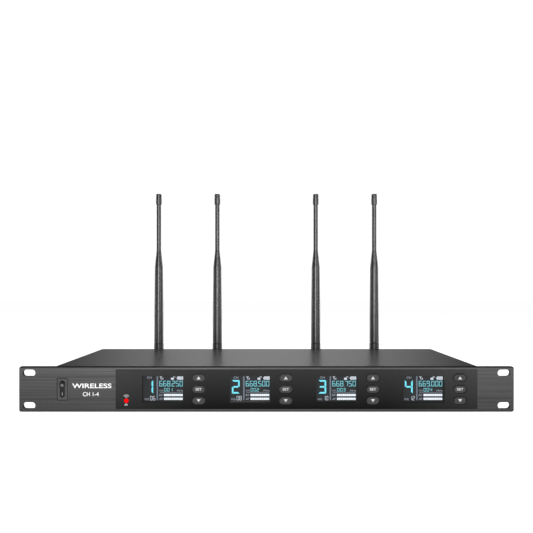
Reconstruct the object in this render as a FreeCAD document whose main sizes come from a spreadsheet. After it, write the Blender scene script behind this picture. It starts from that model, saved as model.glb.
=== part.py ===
import FreeCAD, Part
import math
import os
import re

import Sketcher
from FreeCAD import Placement, Rotation, Vector

# A four-channel wireless receiver in a one-unit rack housing. X runs to the right along the front
# panel, Y from the front to the back and Z up. The origin is under the middle of the object, on the
# surface that its feet stand on. Depths are counted back from the front panel's face, and the
# heights of the things on the panel from its middle line.

SIZES = {
    # Front panel and its rack slots
    "PanelWidth": 482.6,
    "PanelHeight": 44.2,
    "PanelThickness": 4.5,
    "PanelCorner": 2,
    "PanelEdge": 0.7,
    "PanelMiddle": 24.3,
    "FrontY": -119.9,
    "SlotLength": 12.4,
    "SlotWidth": 6.5,
    "SlotSpacing": 463,
    "SlotRise": 31.75,
    # Display fascia, let into the panel
    "FasciaLeft": -146.8,
    "FasciaRight": 205.3,
    "FasciaHeight": 38.5,
    "FasciaFace": 0.1,
    "FasciaBack": 2.5,
    "FasciaCorner": 1,
    "FasciaPlay": 0.15,
    "WindowLedge": 3.05,
    "WindowHeight": 33,
    "CollarWall": 1.6,
    "BossRadius": 2.5,
    # Displays
    "DisplayPitch": 84.9,
    "FirstDisplay": -101.1,
    "DisplayWidth": 40,
    "DisplayHeight": 26,
    "GlassFace": 4.8,
    "GlassBack": 7.6,
    "GlassRim": 2,
    "BoardFace": 12,
    "BoardThickness": 1.6,
    # Buttons and the switches behind them
    "ButtonOffset": 35,
    "ButtonPitch": 11.1,
    "ButtonWidth": 12,
    "ButtonHeight": 7,
    "ButtonProud": 0.5,
    "ButtonGap": 0.7,
    "FlangeLip": 1.3,
    "FlangeThickness": 1,
    "StemRadius": 1.5,
    "StemEnd": 6.9,
    "TactSide": 6,
    "TactFace": 8.5,
    "PlungerFace": 7.5,
    "PlungerRadius": 1.75,
    # Infrared window
    "InfraredX": -136.6,
    "InfraredZ": -11.2,
    "InfraredRadius": 2.45,
    # Power switch
    "SwitchX": -199.1,
    "SwitchWidth": 9.7,
    "SwitchHeight": 21,
    "SwitchGap": 0.4,
    "SwitchBack": 20,
    "SwitchShoulder": 1.8,
    "SwitchShoulderDepth": 1.5,
    "TerminalWidth": 4.8,
    "TerminalHeight": 0.8,
    "TerminalLength": 7,
    "TerminalPitch": 6,
    "WellWidth": 5.2,
    "WellHeight": 16.6,
    "WellDepth": 12,
    "RockerPlay": 0.1,
    "RockerPivot": 2,
    "RockerFace": 0.4,
    "RockerThrow": 16,
    "TrunnionRadius": 1.2,
    "TrunnionReach": 1,
    "RockerBack": 3.5,
    # Chassis
    "ChassisWidth": 420,
    "ChassisBack": 210,
    "ChassisBottom": 3,
    "CoverTop": 45.5,
    "CoverSheet": 1,
    "CoverBend": 1.8,
    "TraySheet": 1.2,
    "TrayWall": 16,
    "RearWall": 10.4,
    "RearScrewZ": 7,
    "RearFlange": 10,
    "SideScrewZ": 10.5,
    "VentCount": 10,
    "VentWidth": 2.4,
    "VentPitch": 6,
    "VentLow": 20,
    "VentHigh": 38,
    "FirstVent": 46,
    "FootX": 182,
    "FrontFoot": 28,
    "RearFoot": 186,
    "FootRadius": 8,
    # Boards and modules inside
    "MainBoardZ": 9.2,
    "MainBoardWidth": 380,
    "MainBoardFront": 60,
    "ModuleBack": 196,
    "ModuleLength": 80,
    "ModuleWidth": 46,
    "ModuleTop": 37,
    "ModuleSheet": 0.8,
    "StandoffRadius": 3,
    "CapacitorRadius": 8,
    "CapacitorHeight": 22,
    "CapacitorPitch": 20,
    "CapacitorDepth": 105,
    "HeaderLeft": -40,
    "HeaderRight": -12,
    "HeaderHeight": 6,
    "RibbonWidth": 24,
    "RibbonThickness": 1.2,
    "RibbonRun": 12,
    "RibbonBend": 5,
    # Screws
    "HeadRadius": 2.75,
    "HeadHeight": 1.6,
    "ShankRadius": 1.45,
    "HoleRadius": 1.6,
    "SmallHead": 2.25,
    "SmallShank": 1.1,
    "CaseScrewLength": 6,
    "PanelScrewLength": 2.6,
    "BoardScrewLength": 5,
    "OutputScrewLength": 7,
    # Rear connectors, on one line
    "AxisHeight": 24.2,
    "OutputInner": 26,
    "OutputOuter": 102.6,
    "OutputWidth": 26,
    "OutputHeight": 31,
    "OutputFlange": 1.5,
    "OutputRadius": 11.8,
    "OutputRim": 0.8,
    "OutputRimWall": 1.2,
    "OutputScrewX": 9.5,
    "OutputScrewZ": 12,
    "SocketRadius": 9.6,
    "SocketFloor": 199,
    "InsertThickness": 4,
    "InsertPlay": 0.02,
    "ContactRadius": 1.2,
    "ContactCircle": 5,
    "ContactLength": 16,
    "ContactTail": 3,
    "MixX": -175,
    "MixCaseFront": 184,
    "MixCaseWidth": 15,
    "MixCaseHeight": 13,
    "MixBushingRadius": 5.4,
    "MixBushingReach": 4.5,
    "MixBoreRadius": 3.25,
    "MixBoreFloor": 188,
    "InletX": 175,
    "InletCaseFront": 196,
    "InletCaseWidth": 9,
    "InletCaseHeight": 11,
    "InletNoseRadius": 4,
    "InletNoseReach": 1,
    "InletBoreRadius": 2.85,
    "InletBoreFloor": 201.5,
    "InletContactRadius": 1.05,
    "InletContactRoot": 200,
    "InletContactLength": 10,
    "NutFlats": 13,
    "NutThickness": 2,
    "MixNutFlats": 14,
    "MixNutThickness": 2.2,
    "PanelHolePlay": 0.1,
    # Antennas
    "InnerAntenna": 64.35,
    "OuterAntenna": 140.9,
    "PivotDepth": 236,
    "BarrelRadius": 4.8,
    "BarrelMouth": 221.5,
    "BarrelFloor": 213,
    "BarrelBore": 4.15,
    "JackBodyRadius": 5.5,
    "JackFlangeRadius": 7.5,
    "JackFlangeThickness": 2,
    "SocketTip": 217.8,
    "SocketTubeRadius": 1.05,
    "SocketTubeBore": 0.55,
    "LugRadius": 1,
    "LugHeight": 1,
    "LugPlay": 0.2,
    "LugReach": 5.5,
    "LugDepth": 217,
    "CollarRadius": 7.25,
    "CollarMouth": 212.4,
    "CollarBack": 226.4,
    "CollarBore": 5,
    "CollarLip": 4.35,
    "CollarLipLength": 2.2,
    "CollarGroove": 5.75,
    "CollarEdge": 0.5,
    "KnurlRadius": 0.45,
    "KnurlCount": 28,
    "PlugRoot": 218.5,
    "SleeveEnd": 213.2,
    "SleeveRadius": 4,
    "SleeveBore": 1.2,
    "PlugContactRadius": 0.5,
    "PlugShoulder": 222,
    "ShoulderRadius": 4.9,
    "ShoulderThickness": 2,
    "PlugNeckRadius": 4.2,
    "KnuckleStart": 227,
    "KnuckleRadius": 6.2,
    "ForkGap": 6,
    "TonguePlay": 0.1,
    "TongueRadius": 6,
    "PinRadius": 1.5,
    "PinPlay": 0.06,
    "ShoulderZ": 7,
    "WhipFoot": 6.42,
    "WhipEdge": 1.2,
    "WhipGroove": 0.5,
    "WhipBlend": 12,
    "WhipLow": 6.25,
    "WhipWaist": 5.2,
    "RodRadius": 2.9,
    "GrooveZ": 27.3,
    "WaistZ": 125.8,
    "RodZ": 148.1,
    "TipZ": 207.7,
    "WhipTop": 221.6,
    "TipRadius": 3.75,
    "TipBore": 7.6,
    "TipRing": 0.4,
}

doc = FreeCAD.newDocument("WirelessReceiver")
sheet = doc.addObject("Spreadsheet::Sheet", "Sizes")
for row, (name, value) in enumerate(SIZES.items(), start=1):
    sheet.set(f"A{row}", name)
    sheet.set(f"B{row}", str(value))
    sheet.setAlias(f"B{row}", name)
doc.recompute()

nodes = []


# ---------------------------------------------------------------- formulas and finished pieces


def formula(text):
    """The text with every sheet name written in full."""
    return re.sub(r"\b[A-Z]\w*", lambda word: "Sizes." + word.group(), str(text))


def number(text):
    """What a formula comes to, for a sketch's first guess."""
    found = sheet.evalExpression(formula(text))
    return float(getattr(found, "Value", found))


def bind(target, **settings):
    """Tie properties to the sheet; a double underscore in a name stands for a dot."""
    for name, text in settings.items():
        target.setExpression(name.replace("__", "."), formula(text))


def node(label, piece):
    """Name a finished piece and keep it for export."""
    piece.Label = label
    nodes.append(piece)
    return piece


def behind(depth):
    """The Y of a depth behind the panel's face."""
    return f"FrontY + ({depth})"


# ---------------------------------------------------------------- plain solids


TURNS = {
    "x": Rotation(Vector(0, 1, 0), 90),
    "y": Rotation(Vector(1, 0, 0), -90),
    "z": Rotation(),
}


def block(name, across, depth, height):
    """A box between pairs of X, depth and Z formulas."""
    solid = doc.addObject("Part::Box", name)
    solid.setExpression("Length", formula(f"({across[1]}) - ({across[0]})"))
    solid.setExpression("Width", formula(f"({depth[1]}) - ({depth[0]})"))
    solid.setExpression("Height", formula(f"({height[1]}) - ({height[0]})"))
    bind(
        solid,
        Placement__Base__x=across[0],
        Placement__Base__y=behind(depth[0]),
        Placement__Base__z=height[0],
    )
    return solid


def rod(name, axis, x, depth, z, length, radius):
    """A cylinder along an axis from its starting X, depth and Z."""
    solid = doc.addObject("Part::Cylinder", name)
    solid.Placement = Placement(Vector(), TURNS[axis])
    bind(
        solid,
        Height=length,
        Radius=radius,
        Placement__Base__x=x,
        Placement__Base__y=behind(depth),
        Placement__Base__z=z,
    )
    return solid


def fuse(name, parts):
    joined = doc.addObject("Part::MultiFuse", name)
    joined.Shapes = parts
    return joined


def group(name, parts):
    """Separate solids kept together as one piece."""
    kept = doc.addObject("Part::Compound", name)
    kept.Links = parts
    return kept


def cut(name, base, tools):
    result = doc.addObject("Part::Cut", name)
    result.Base = base
    result.Tool = tools[0] if len(tools) == 1 else fuse(name + "Tools", tools)
    return result


# ---------------------------------------------------------------- bodies and sketches


def start_body(name):
    return doc.addObject("PartDesign::Body", name)


def sketch_on(body, plane, offset="0"):
    """A sketch on one of the body's own planes, moved along the plane's normal."""
    sketch = body.newObject("Sketcher::SketchObject", f"{body.Name}Sketch{len(body.Group)}")
    support = next(item for item in body.Origin.OriginFeatures if item.Role == plane)
    sketch.AttachmentSupport = [(support, "")]
    sketch.MapMode = "FlatFace"
    sketch.setExpression("AttachmentOffset.Base.z", formula(offset))
    return sketch


def facing(body, depth):
    """A sketch parallel to the front panel; its axes are X and Z."""
    return sketch_on(body, "XZ_Plane", f"-({behind(depth)})")


def dimension(sketch, kind, *where, text):
    """A driving constraint whose value comes from the sheet."""
    index = sketch.addConstraint(Sketcher.Constraint(kind, *where, number(text)))
    sketch.setExpression(f"Constraints[{index}]", formula(text))


def place_point(sketch, geometry, point, across, up):
    dimension(sketch, "DistanceX", -1, 1, geometry, point, text=across)
    dimension(sketch, "DistanceY", -1, 1, geometry, point, text=up)


def polygon(sketch, corners):
    """A closed outline through corners given as pairs of formulas."""
    points = [Vector(number(across), number(up), 0) for across, up in corners]
    lines = []
    for start, end in zip(points, points[1:] + points[:1]):
        lines.append(sketch.addGeometry(Part.LineSegment(start, end)))
    for line, following in zip(lines, lines[1:] + lines[:1]):
        sketch.addConstraint(Sketcher.Constraint("Coincident", line, 2, following, 1))
    for line, (across, up) in zip(lines, corners):
        place_point(sketch, line, 1, across, up)


def rectangle(sketch, left, right, low, high):
    polygon(sketch, [(left, low), (right, low), (right, high), (left, high)])


def centred_rectangle(sketch, across, up, width, height):
    rectangle(
        sketch,
        f"{across} - ({width}) / 2",
        f"{across} + ({width}) / 2",
        f"{up} - ({height}) / 2",
        f"{up} + ({height}) / 2",
    )


def circle(sketch, across, up, radius):
    centre = Vector(number(across), number(up), 0)
    ring = sketch.addGeometry(Part.Circle(centre, Vector(0, 0, 1), number(radius)))
    place_point(sketch, ring, 3, across, up)
    dimension(sketch, "Radius", ring, text=radius)


def obround(sketch, across, up, width, height):
    """A slot with round ends, along the longer of its two sizes."""
    flat = number(width) > number(height)
    long_side, short_side = (width, height) if flat else (height, width)
    reach = f"(({long_side}) - ({short_side})) / 2"
    radius = number(short_side) / 2
    step = Vector(number(reach), 0, 0) if flat else Vector(0, number(reach), 0)
    side = Vector(0, radius, 0) if flat else Vector(-radius, 0, 0)
    turn = 0 if flat else math.pi / 2
    middle = Vector(number(across), number(up), 0)
    up_vector = Vector(0, 0, 1)
    far = Part.Circle(middle + step, up_vector, radius)
    near = Part.Circle(middle - step, up_vector, radius)
    far_arc = sketch.addGeometry(
        Part.ArcOfCircle(far, turn - math.pi / 2, turn + math.pi / 2)
    )
    near_arc = sketch.addGeometry(
        Part.ArcOfCircle(near, turn + math.pi / 2, turn + 3 * math.pi / 2)
    )
    top = sketch.addGeometry(Part.LineSegment(middle + step + side, middle - step + side))
    bottom = sketch.addGeometry(Part.LineSegment(middle - step - side, middle + step - side))
    for first, first_end, second, second_end in (
        (far_arc, 2, top, 1),
        (top, 2, near_arc, 1),
        (near_arc, 2, bottom, 1),
        (bottom, 2, far_arc, 1),
    ):
        tangent = Sketcher.Constraint("Tangent", first, first_end, second, second_end)
        sketch.addConstraint(tangent)
    sketch.addConstraint(Sketcher.Constraint("Equal", far_arc, near_arc))
    for arc, sign in ((far_arc, "+"), (near_arc, "-")):
        if flat:
            place_point(sketch, arc, 3, f"{across} {sign} {reach}", up)
        else:
            place_point(sketch, arc, 3, across, f"{up} {sign} {reach}")
    dimension(sketch, "Radius", far_arc, text=f"({short_side}) / 2")


def pad(body, sketch, length, symmetric=False):
    """Extrude backwards, or evenly to both sides of the sketch."""
    feature = body.newObject("PartDesign::Pad", f"{body.Name}Pad{len(body.Group)}")
    feature.Profile = sketch
    feature.Reversed = not symmetric
    if symmetric:
        feature.SideType = "Symmetric"
    bind(feature, Length=length)
    sketch.Visibility = False
    return feature


def pocket(body, sketch, length, symmetric=False, forward=False):
    """Cut backwards from the sketch, forwards, or to both sides of it."""
    doc.recompute()
    before = body.Shape.Volume
    feature = body.newObject("PartDesign::Pocket", f"{body.Name}Pocket{len(body.Group)}")
    feature.Profile = sketch
    feature.Reversed = forward
    if symmetric:
        feature.SideType = "Symmetric"
    bind(feature, Length=length)
    doc.recompute()
    if body.Shape.Volume >= before:
        raise RuntimeError(f"{feature.Name} cuts nothing")
    return feature


def turn(body, sketch, axis):
    """Revolve a sketch a full turn about its own H_Axis or V_Axis."""
    feature = body.newObject("PartDesign::Revolution", f"{body.Name}Turn{len(body.Group)}")
    feature.Profile = sketch
    feature.ReferenceAxis = (sketch, [axis])
    feature.Angle = 360
    return feature


def dress(body, kind, size_name, size, wanted):
    """A fillet or chamfer on the edges of the body's last feature that pass a test."""
    doc.recompute()
    base = body.Tip
    edges = [
        f"Edge{place}" for place, edge in enumerate(base.Shape.Edges, start=1) if wanted(edge)
    ]
    if not edges:
        raise RuntimeError(f"{body.Name} has no edge to dress")
    feature = body.newObject(f"PartDesign::{kind}", f"{body.Name}{kind}{len(body.Group)}")
    feature.Base = (base, edges)
    feature.setExpression(size_name, formula(size))
    return feature


def fillet(body, radius, wanted):
    return dress(body, "Fillet", "Radius", radius, wanted)


def chamfer(body, size, wanted):
    return dress(body, "Chamfer", "Size", size, wanted)


def runs_along(edge, direction):
    """Is this a straight edge along X, Y or Z?"""
    if not isinstance(edge.Curve, Part.Line):
        return False
    return abs(edge.Curve.Direction.dot(direction)) > 0.999


ALONG_X = Vector(1, 0, 0)
ALONG_Y = Vector(0, 1, 0)


def lies_at_y(edge, depth):
    """Is every end of the edge at this Y?"""
    return all(abs(vertex.Point.y - depth) < 0.001 for vertex in edge.Vertexes)


def set_base(piece, x, depth, z):
    bind(
        piece,
        Placement__Base__x=x,
        Placement__Base__y=behind(depth),
        Placement__Base__z=z,
    )


# ---------------------------------------------------------------- places of what repeats


CHANNELS = (1, 2, 3, 4)
BUTTON_ROWS = {"up": "ButtonPitch", "set": "0", "down": "-ButtonPitch"}
ANTENNAS = {1: "-OuterAntenna", 2: "-InnerAntenna", 3: "InnerAntenna", 4: "OuterAntenna"}
OUTPUTS = ("-OutputOuter", "-OutputInner", "OutputInner", "OutputOuter")
SIDES = ("-1", "1")


def display_x(channel):
    return f"(FirstDisplay + {channel - 1} * DisplayPitch)"


def button_x(channel):
    return f"({display_x(channel)} + ButtonOffset)"


def boss_places():
    """The fascia's five screw bosses: left of the first display and right of each channel."""
    places = ["(FirstDisplay - 29)"]
    for channel in CHANNELS[:3]:
        places.append(f"({display_x(channel)} + 52)")
    places.append("(FasciaRight - 6)")
    return places


# Each panel screw: X and its height from the panel's middle
PANEL_SCREWS = [
    (across, f"{side} * 13")
    for across in ("-180", "-150", "(FasciaRight - 0.2)")
    for side in SIDES
]
COVER_SCREWS = ("30", "107", "184")
CAPACITORS = ("-CapacitorPitch", "0", "CapacitorPitch")
REAR_SCREWS = ("-200", "-65", "65", "200")
STANDOFFS = [(across, depth) for across in ("-175", "0", "175") for depth in ("70", "188")]
FRONT_WALL_BACK = "PanelThickness + TraySheet"
INNER_TOP = "CoverTop - CoverSheet"
INNER_HALF = "ChassisWidth / 2 - CoverSheet"
BOARD_BACK = "BoardFace + BoardThickness"
BOARD_TOP = "MainBoardZ + BoardThickness"
HEADER = ("HeaderLeft", "HeaderRight")
REAR_FACE = "ChassisBack - TraySheet"


# ---------------------------------------------------------------- front panel and fascia


def front_panel():
    body = start_body("FrontPanel")
    outline = facing(body, "0")
    centred_rectangle(outline, "0", "PanelMiddle", "PanelWidth", "PanelHeight")
    pad(body, outline, "PanelThickness")
    fillet(body, "PanelCorner", lambda edge: runs_along(edge, ALONG_Y))
    chamfer(body, "PanelEdge", lambda edge: lies_at_y(edge, number("FrontY")))
    recess = facing(body, "0")
    rectangle(
        recess,
        "FasciaLeft - FasciaPlay",
        "FasciaRight + FasciaPlay",
        "PanelMiddle - FasciaHeight / 2 - FasciaPlay",
        "PanelMiddle + FasciaHeight / 2 + FasciaPlay",
    )
    pocket(body, recess, "FasciaBack")
    fillet(
        body,
        "FasciaCorner",
        lambda edge: runs_along(edge, ALONG_Y)
        and abs(edge.Length - number("FasciaBack")) < 0.001,
    )
    window = facing(body, "0")
    rectangle(
        window,
        "FasciaLeft + WindowLedge",
        "FasciaRight - WindowLedge",
        "PanelMiddle - WindowHeight / 2",
        "PanelMiddle + WindowHeight / 2",
    )
    pocket(body, window, "PanelThickness")
    openings = facing(body, "0")
    for across in ("-SlotSpacing / 2", "SlotSpacing / 2"):
        for side in SIDES:
            height = f"PanelMiddle + {side} * SlotRise / 2"
            obround(openings, across, height, "SlotLength", "SlotWidth")
    centred_rectangle(
        openings,
        "SwitchX",
        "PanelMiddle",
        "SwitchWidth + 2 * SwitchGap",
        "SwitchHeight + 2 * SwitchGap",
    )
    pocket(body, openings, "PanelThickness")
    threads = facing(body, "PanelThickness")
    for across, height in PANEL_SCREWS:
        circle(threads, across, f"PanelMiddle + {height}", "SmallShank + PinPlay")
    pocket(body, threads, "PanelThickness - FasciaBack - 0.4", forward=True)
    node("front_panel", body)


def display_fascia():
    """The glossy plate, with a collar behind each window and bosses for the front board."""
    body = start_body("DisplayFascia")
    outline = facing(body, "FasciaFace")
    rectangle(
        outline,
        "FasciaLeft",
        "FasciaRight",
        "PanelMiddle - FasciaHeight / 2",
        "PanelMiddle + FasciaHeight / 2",
    )
    pad(body, outline, "FasciaBack - FasciaFace")
    fillet(body, "FasciaCorner", lambda edge: runs_along(edge, ALONG_Y))
    collars = facing(body, "FasciaBack")
    for channel in CHANNELS:
        centred_rectangle(
            collars,
            display_x(channel),
            "PanelMiddle",
            "DisplayWidth + 2 * CollarWall",
            "DisplayHeight + 2 * CollarWall",
        )
    pad(body, collars, "GlassFace - FasciaBack")
    bosses = facing(body, "FasciaBack")
    for across in boss_places():
        circle(bosses, across, "PanelMiddle", "BossRadius")
    pad(body, bosses, "BoardFace - FasciaBack")
    windows = facing(body, "FasciaFace")
    for channel in CHANNELS:
        centred_rectangle(
            windows, display_x(channel), "PanelMiddle", "DisplayWidth", "DisplayHeight"
        )
    pocket(body, windows, "GlassFace")
    holes = facing(body, "FasciaFace")
    for channel in CHANNELS:
        for height in BUTTON_ROWS.values():
            obround(
                holes,
                button_x(channel),
                f"PanelMiddle + {height}",
                "ButtonWidth + 2 * ButtonGap",
                "ButtonHeight + 2 * ButtonGap",
            )
    circle(holes, "InfraredX", "PanelMiddle + InfraredZ", "InfraredRadius + PinPlay")
    pocket(body, holes, "FasciaBack")
    threads = facing(body, "BoardFace")
    for across in boss_places():
        circle(threads, across, "PanelMiddle", "SmallShank + PinPlay")
    pocket(body, threads, "BoardFace - GlassBack", forward=True)
    node("display_fascia", body)


def infrared_window():
    body = start_body("InfraredWindow")
    lens = facing(body, "FasciaFace")
    circle(lens, "InfraredX", "PanelMiddle + InfraredZ", "InfraredRadius")
    pad(body, lens, "FasciaBack - FasciaFace")
    flange = facing(body, "FasciaBack")
    circle(flange, "InfraredX", "PanelMiddle + InfraredZ", "InfraredRadius + 1")
    pad(body, flange, "FlangeThickness")
    node("ir_window", body)


# ---------------------------------------------------------------- displays, buttons, front board


def displays():
    backlights = []
    for channel in CHANNELS:
        across = display_x(channel)
        half = "(DisplayWidth / 2 + GlassRim)"
        rise = "(DisplayHeight / 2 + GlassRim)"
        glass = block(
            f"Glass{channel}",
            (f"{across} - {half}", f"{across} + {half}"),
            ("GlassFace", "GlassBack"),
            (f"PanelMiddle - {rise}", f"PanelMiddle + {rise}"),
        )
        node(f"lcd_{channel}", glass)
        backlights.append(
            block(
                f"Backlight{channel}",
                (f"{across} - {half} - 1", f"{across} + {half} + 1"),
                ("GlassBack", "BoardFace"),
                (f"PanelMiddle - {rise} - 0.75", f"PanelMiddle + {rise} + 0.75"),
            )
        )
    node("lcd_backlights", group("Backlights", backlights))


def button(name, channel, height):
    """A pill-shaped cap, held behind the fascia by its flange, with a stem to its switch."""
    body = start_body(f"Button{name.capitalize()}{channel}")
    width, tall = "ButtonWidth", "ButtonHeight"
    cap = sketch_on(body, "XZ_Plane", "-(FasciaFace - ButtonProud)")
    obround(cap, "0", "0", width, tall)
    pad(body, cap, "FasciaBack + ButtonProud")
    chamfer(
        body, "0.35", lambda edge: lies_at_y(edge, number("FasciaFace - ButtonProud"))
    )
    flange = sketch_on(body, "XZ_Plane", "-(FasciaBack + FasciaFace)")
    obround(flange, "0", "0", f"{width} + 2 * FlangeLip", f"{tall} + 2 * FlangeLip")
    pad(body, flange, "FlangeThickness")
    stem = sketch_on(body, "XZ_Plane", "-(FasciaBack + FasciaFace)")
    circle(stem, "0", "0", "StemRadius")
    pad(body, stem, "StemEnd - FasciaBack - FasciaFace")
    set_base(body, button_x(channel), "0", f"PanelMiddle + {height}")
    node(f"button_{name}_{channel}", body)


def front_board():
    edge = "(FasciaRight - WindowLedge)"
    plate = block(
        "FrontBoardPlate",
        ("FasciaLeft + WindowLedge", edge),
        ("BoardFace", BOARD_BACK),
        ("PanelMiddle - 16", "PanelMiddle + 16"),
    )
    holes = [
        rod(f"FrontBoardHole{place}", "y", across, "BoardFace", "PanelMiddle",
            "BoardThickness", "SmallShank + PinPlay")
        for place, across in enumerate(boss_places())
    ]
    sensor_z = "(PanelMiddle + InfraredZ)"
    sensor_body = block(
        "SensorBody",
        ("InfraredX - 2.5", "InfraredX + 2.5"),
        ("8", "BoardFace"),
        (f"{sensor_z} - 2.5", f"{sensor_z} + 2.5"),
    )
    sensor_dome = rod("SensorDome", "y", "InfraredX", "5", sensor_z, "3", "2")
    header = block(
        "FrontHeader",
        HEADER,
        (BOARD_BACK, f"{BOARD_BACK} + HeaderHeight"),
        ("PanelMiddle - 3", "PanelMiddle + 3"),
    )
    board = cut("FrontBoardDrilled", plate, holes)
    node("front_board", group("FrontBoard", [board, fuse("Sensor", [sensor_body, sensor_dome]),
                                             header]))


def tact_switches():
    switches = []
    for channel in CHANNELS:
        for name, height in BUTTON_ROWS.items():
            across = button_x(channel)
            up = f"(PanelMiddle + {height})"
            label = f"{name.capitalize()}{channel}"
            case = block(
                f"TactCase{label}",
                (f"{across} - TactSide / 2", f"{across} + TactSide / 2"),
                ("TactFace", "BoardFace"),
                (f"{up} - TactSide / 2", f"{up} + TactSide / 2"),
            )
            plunger = rod(
                f"TactPlunger{label}", "y", across, "PlungerFace", up,
                "TactFace - PlungerFace", "PlungerRadius",
            )
            switches.append(fuse(f"Tact{label}", [case, plunger]))
    node("tact_switches", group("TactSwitches", switches))


# ---------------------------------------------------------------- power switch


def switch_housing():
    body = start_body("SwitchHousing")
    bezel = facing(body, "FasciaFace")
    centred_rectangle(bezel, "SwitchX", "PanelMiddle", "SwitchWidth", "SwitchHeight")
    pad(body, bezel, "SwitchBack - FasciaFace")
    chamfer(body, "0.25", lambda edge: lies_at_y(edge, number(behind("FasciaFace"))))
    shoulder = facing(body, "PanelThickness")
    centred_rectangle(
        shoulder, "SwitchX", "PanelMiddle", "SwitchWidth + 2 * SwitchShoulder",
        "SwitchHeight + 2 * SwitchShoulder"
    )
    pad(body, shoulder, "SwitchShoulderDepth")
    terminals = facing(body, "SwitchBack")
    for height in ("-TerminalPitch", "0", "TerminalPitch"):
        centred_rectangle(terminals, "SwitchX", f"PanelMiddle + {height}", "TerminalWidth",
                          "TerminalHeight")
    pad(body, terminals, "TerminalLength")
    well = facing(body, "FasciaFace")
    obround(well, "SwitchX", "PanelMiddle", "WellWidth", "WellHeight")
    pocket(body, well, "WellDepth")
    bearing = sketch_on(body, "YZ_Plane", "SwitchX")
    circle(bearing, behind("RockerPivot"), "PanelMiddle", "TrunnionRadius + PinPlay")
    pocket(body, bearing, "WellWidth + 2 * TrunnionReach + 0.4", symmetric=True)
    node("switch_housing", body)


def power_rocker():
    """A barrel whose outline turns inside the well, cut to two faces that meet at the middle.

    Its lower half lies flush and its upper half stands out, as it does when it is on.
    """
    body = start_body("PowerRocker")
    half = "(WellWidth / 2 - RockerPlay)"
    reach = "(WellHeight / 2 - RockerPlay)"
    barrel = sketch_on(body, "XZ_Plane")
    middle = Vector(0, 0, 0)
    half_size = number(half)
    straight = number(reach) - half_size
    end = sketch_arc_end(barrel, half_size, straight, middle)
    place_point(barrel, end, 3, "0", f"{reach} - {half}")
    dimension(barrel, "Radius", end, text=half)
    turn(body, barrel, "H_Axis")
    front = sketch_on(body, "YZ_Plane")
    rise = f"{reach} * tan(RockerThrow * 1 deg)"
    face = "(RockerFace - RockerPivot)"
    polygon(
        front,
        [
            (face, f"-{reach} - 1"),
            (face, "0"),
            (f"{face} - {rise}", reach),
            (f"{face} - {rise}", f"{reach} + 1"),
            (f"-{reach} - 2", f"{reach} + 1"),
            (f"-{reach} - 2", f"-{reach} - 1"),
        ],
    )
    pocket(body, front, "WellWidth", symmetric=True)
    back = sketch_on(body, "YZ_Plane")
    rectangle(back, "RockerBack", f"{reach} + 2", f"-{reach} - 1", f"{reach} + 1")
    pocket(body, back, "WellWidth", symmetric=True)
    trunnions = sketch_on(body, "YZ_Plane")
    circle(trunnions, "0", "0", "TrunnionRadius")
    pad(body, trunnions, "WellWidth + 2 * TrunnionReach", symmetric=True)
    set_base(body, "SwitchX", "RockerPivot", "PanelMiddle")
    node("power_rocker", body)


def sketch_arc_end(sketch, radius, straight, middle):
    """Half of a pill's outline: a half-round end over a straight base on the sketch's X axis."""
    centre = middle + Vector(0, straight, 0)
    arc = sketch.addGeometry(
        Part.ArcOfCircle(Part.Circle(centre, Vector(0, 0, 1), radius), 0, math.pi)
    )
    left = Vector(-radius, 0, 0)
    right = Vector(radius, 0, 0)
    rise = Vector(0, straight, 0)
    left_line = sketch.addGeometry(Part.LineSegment(left + rise, left))
    base_line = sketch.addGeometry(Part.LineSegment(left, right))
    right_line = sketch.addGeometry(Part.LineSegment(right, right + rise))
    for constraint in (
        Sketcher.Constraint("Tangent", arc, 2, left_line, 1),
        Sketcher.Constraint("Coincident", left_line, 2, base_line, 1),
        Sketcher.Constraint("Coincident", base_line, 2, right_line, 1),
        Sketcher.Constraint("Tangent", right_line, 2, arc, 1),
        Sketcher.Constraint("Vertical", left_line),
        Sketcher.Constraint("Vertical", right_line),
        Sketcher.Constraint("PointOnObject", base_line, 1, -1),
        Sketcher.Constraint("PointOnObject", base_line, 2, -1),
    ):
        sketch.addConstraint(constraint)
    return arc


# ---------------------------------------------------------------- chassis


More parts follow.
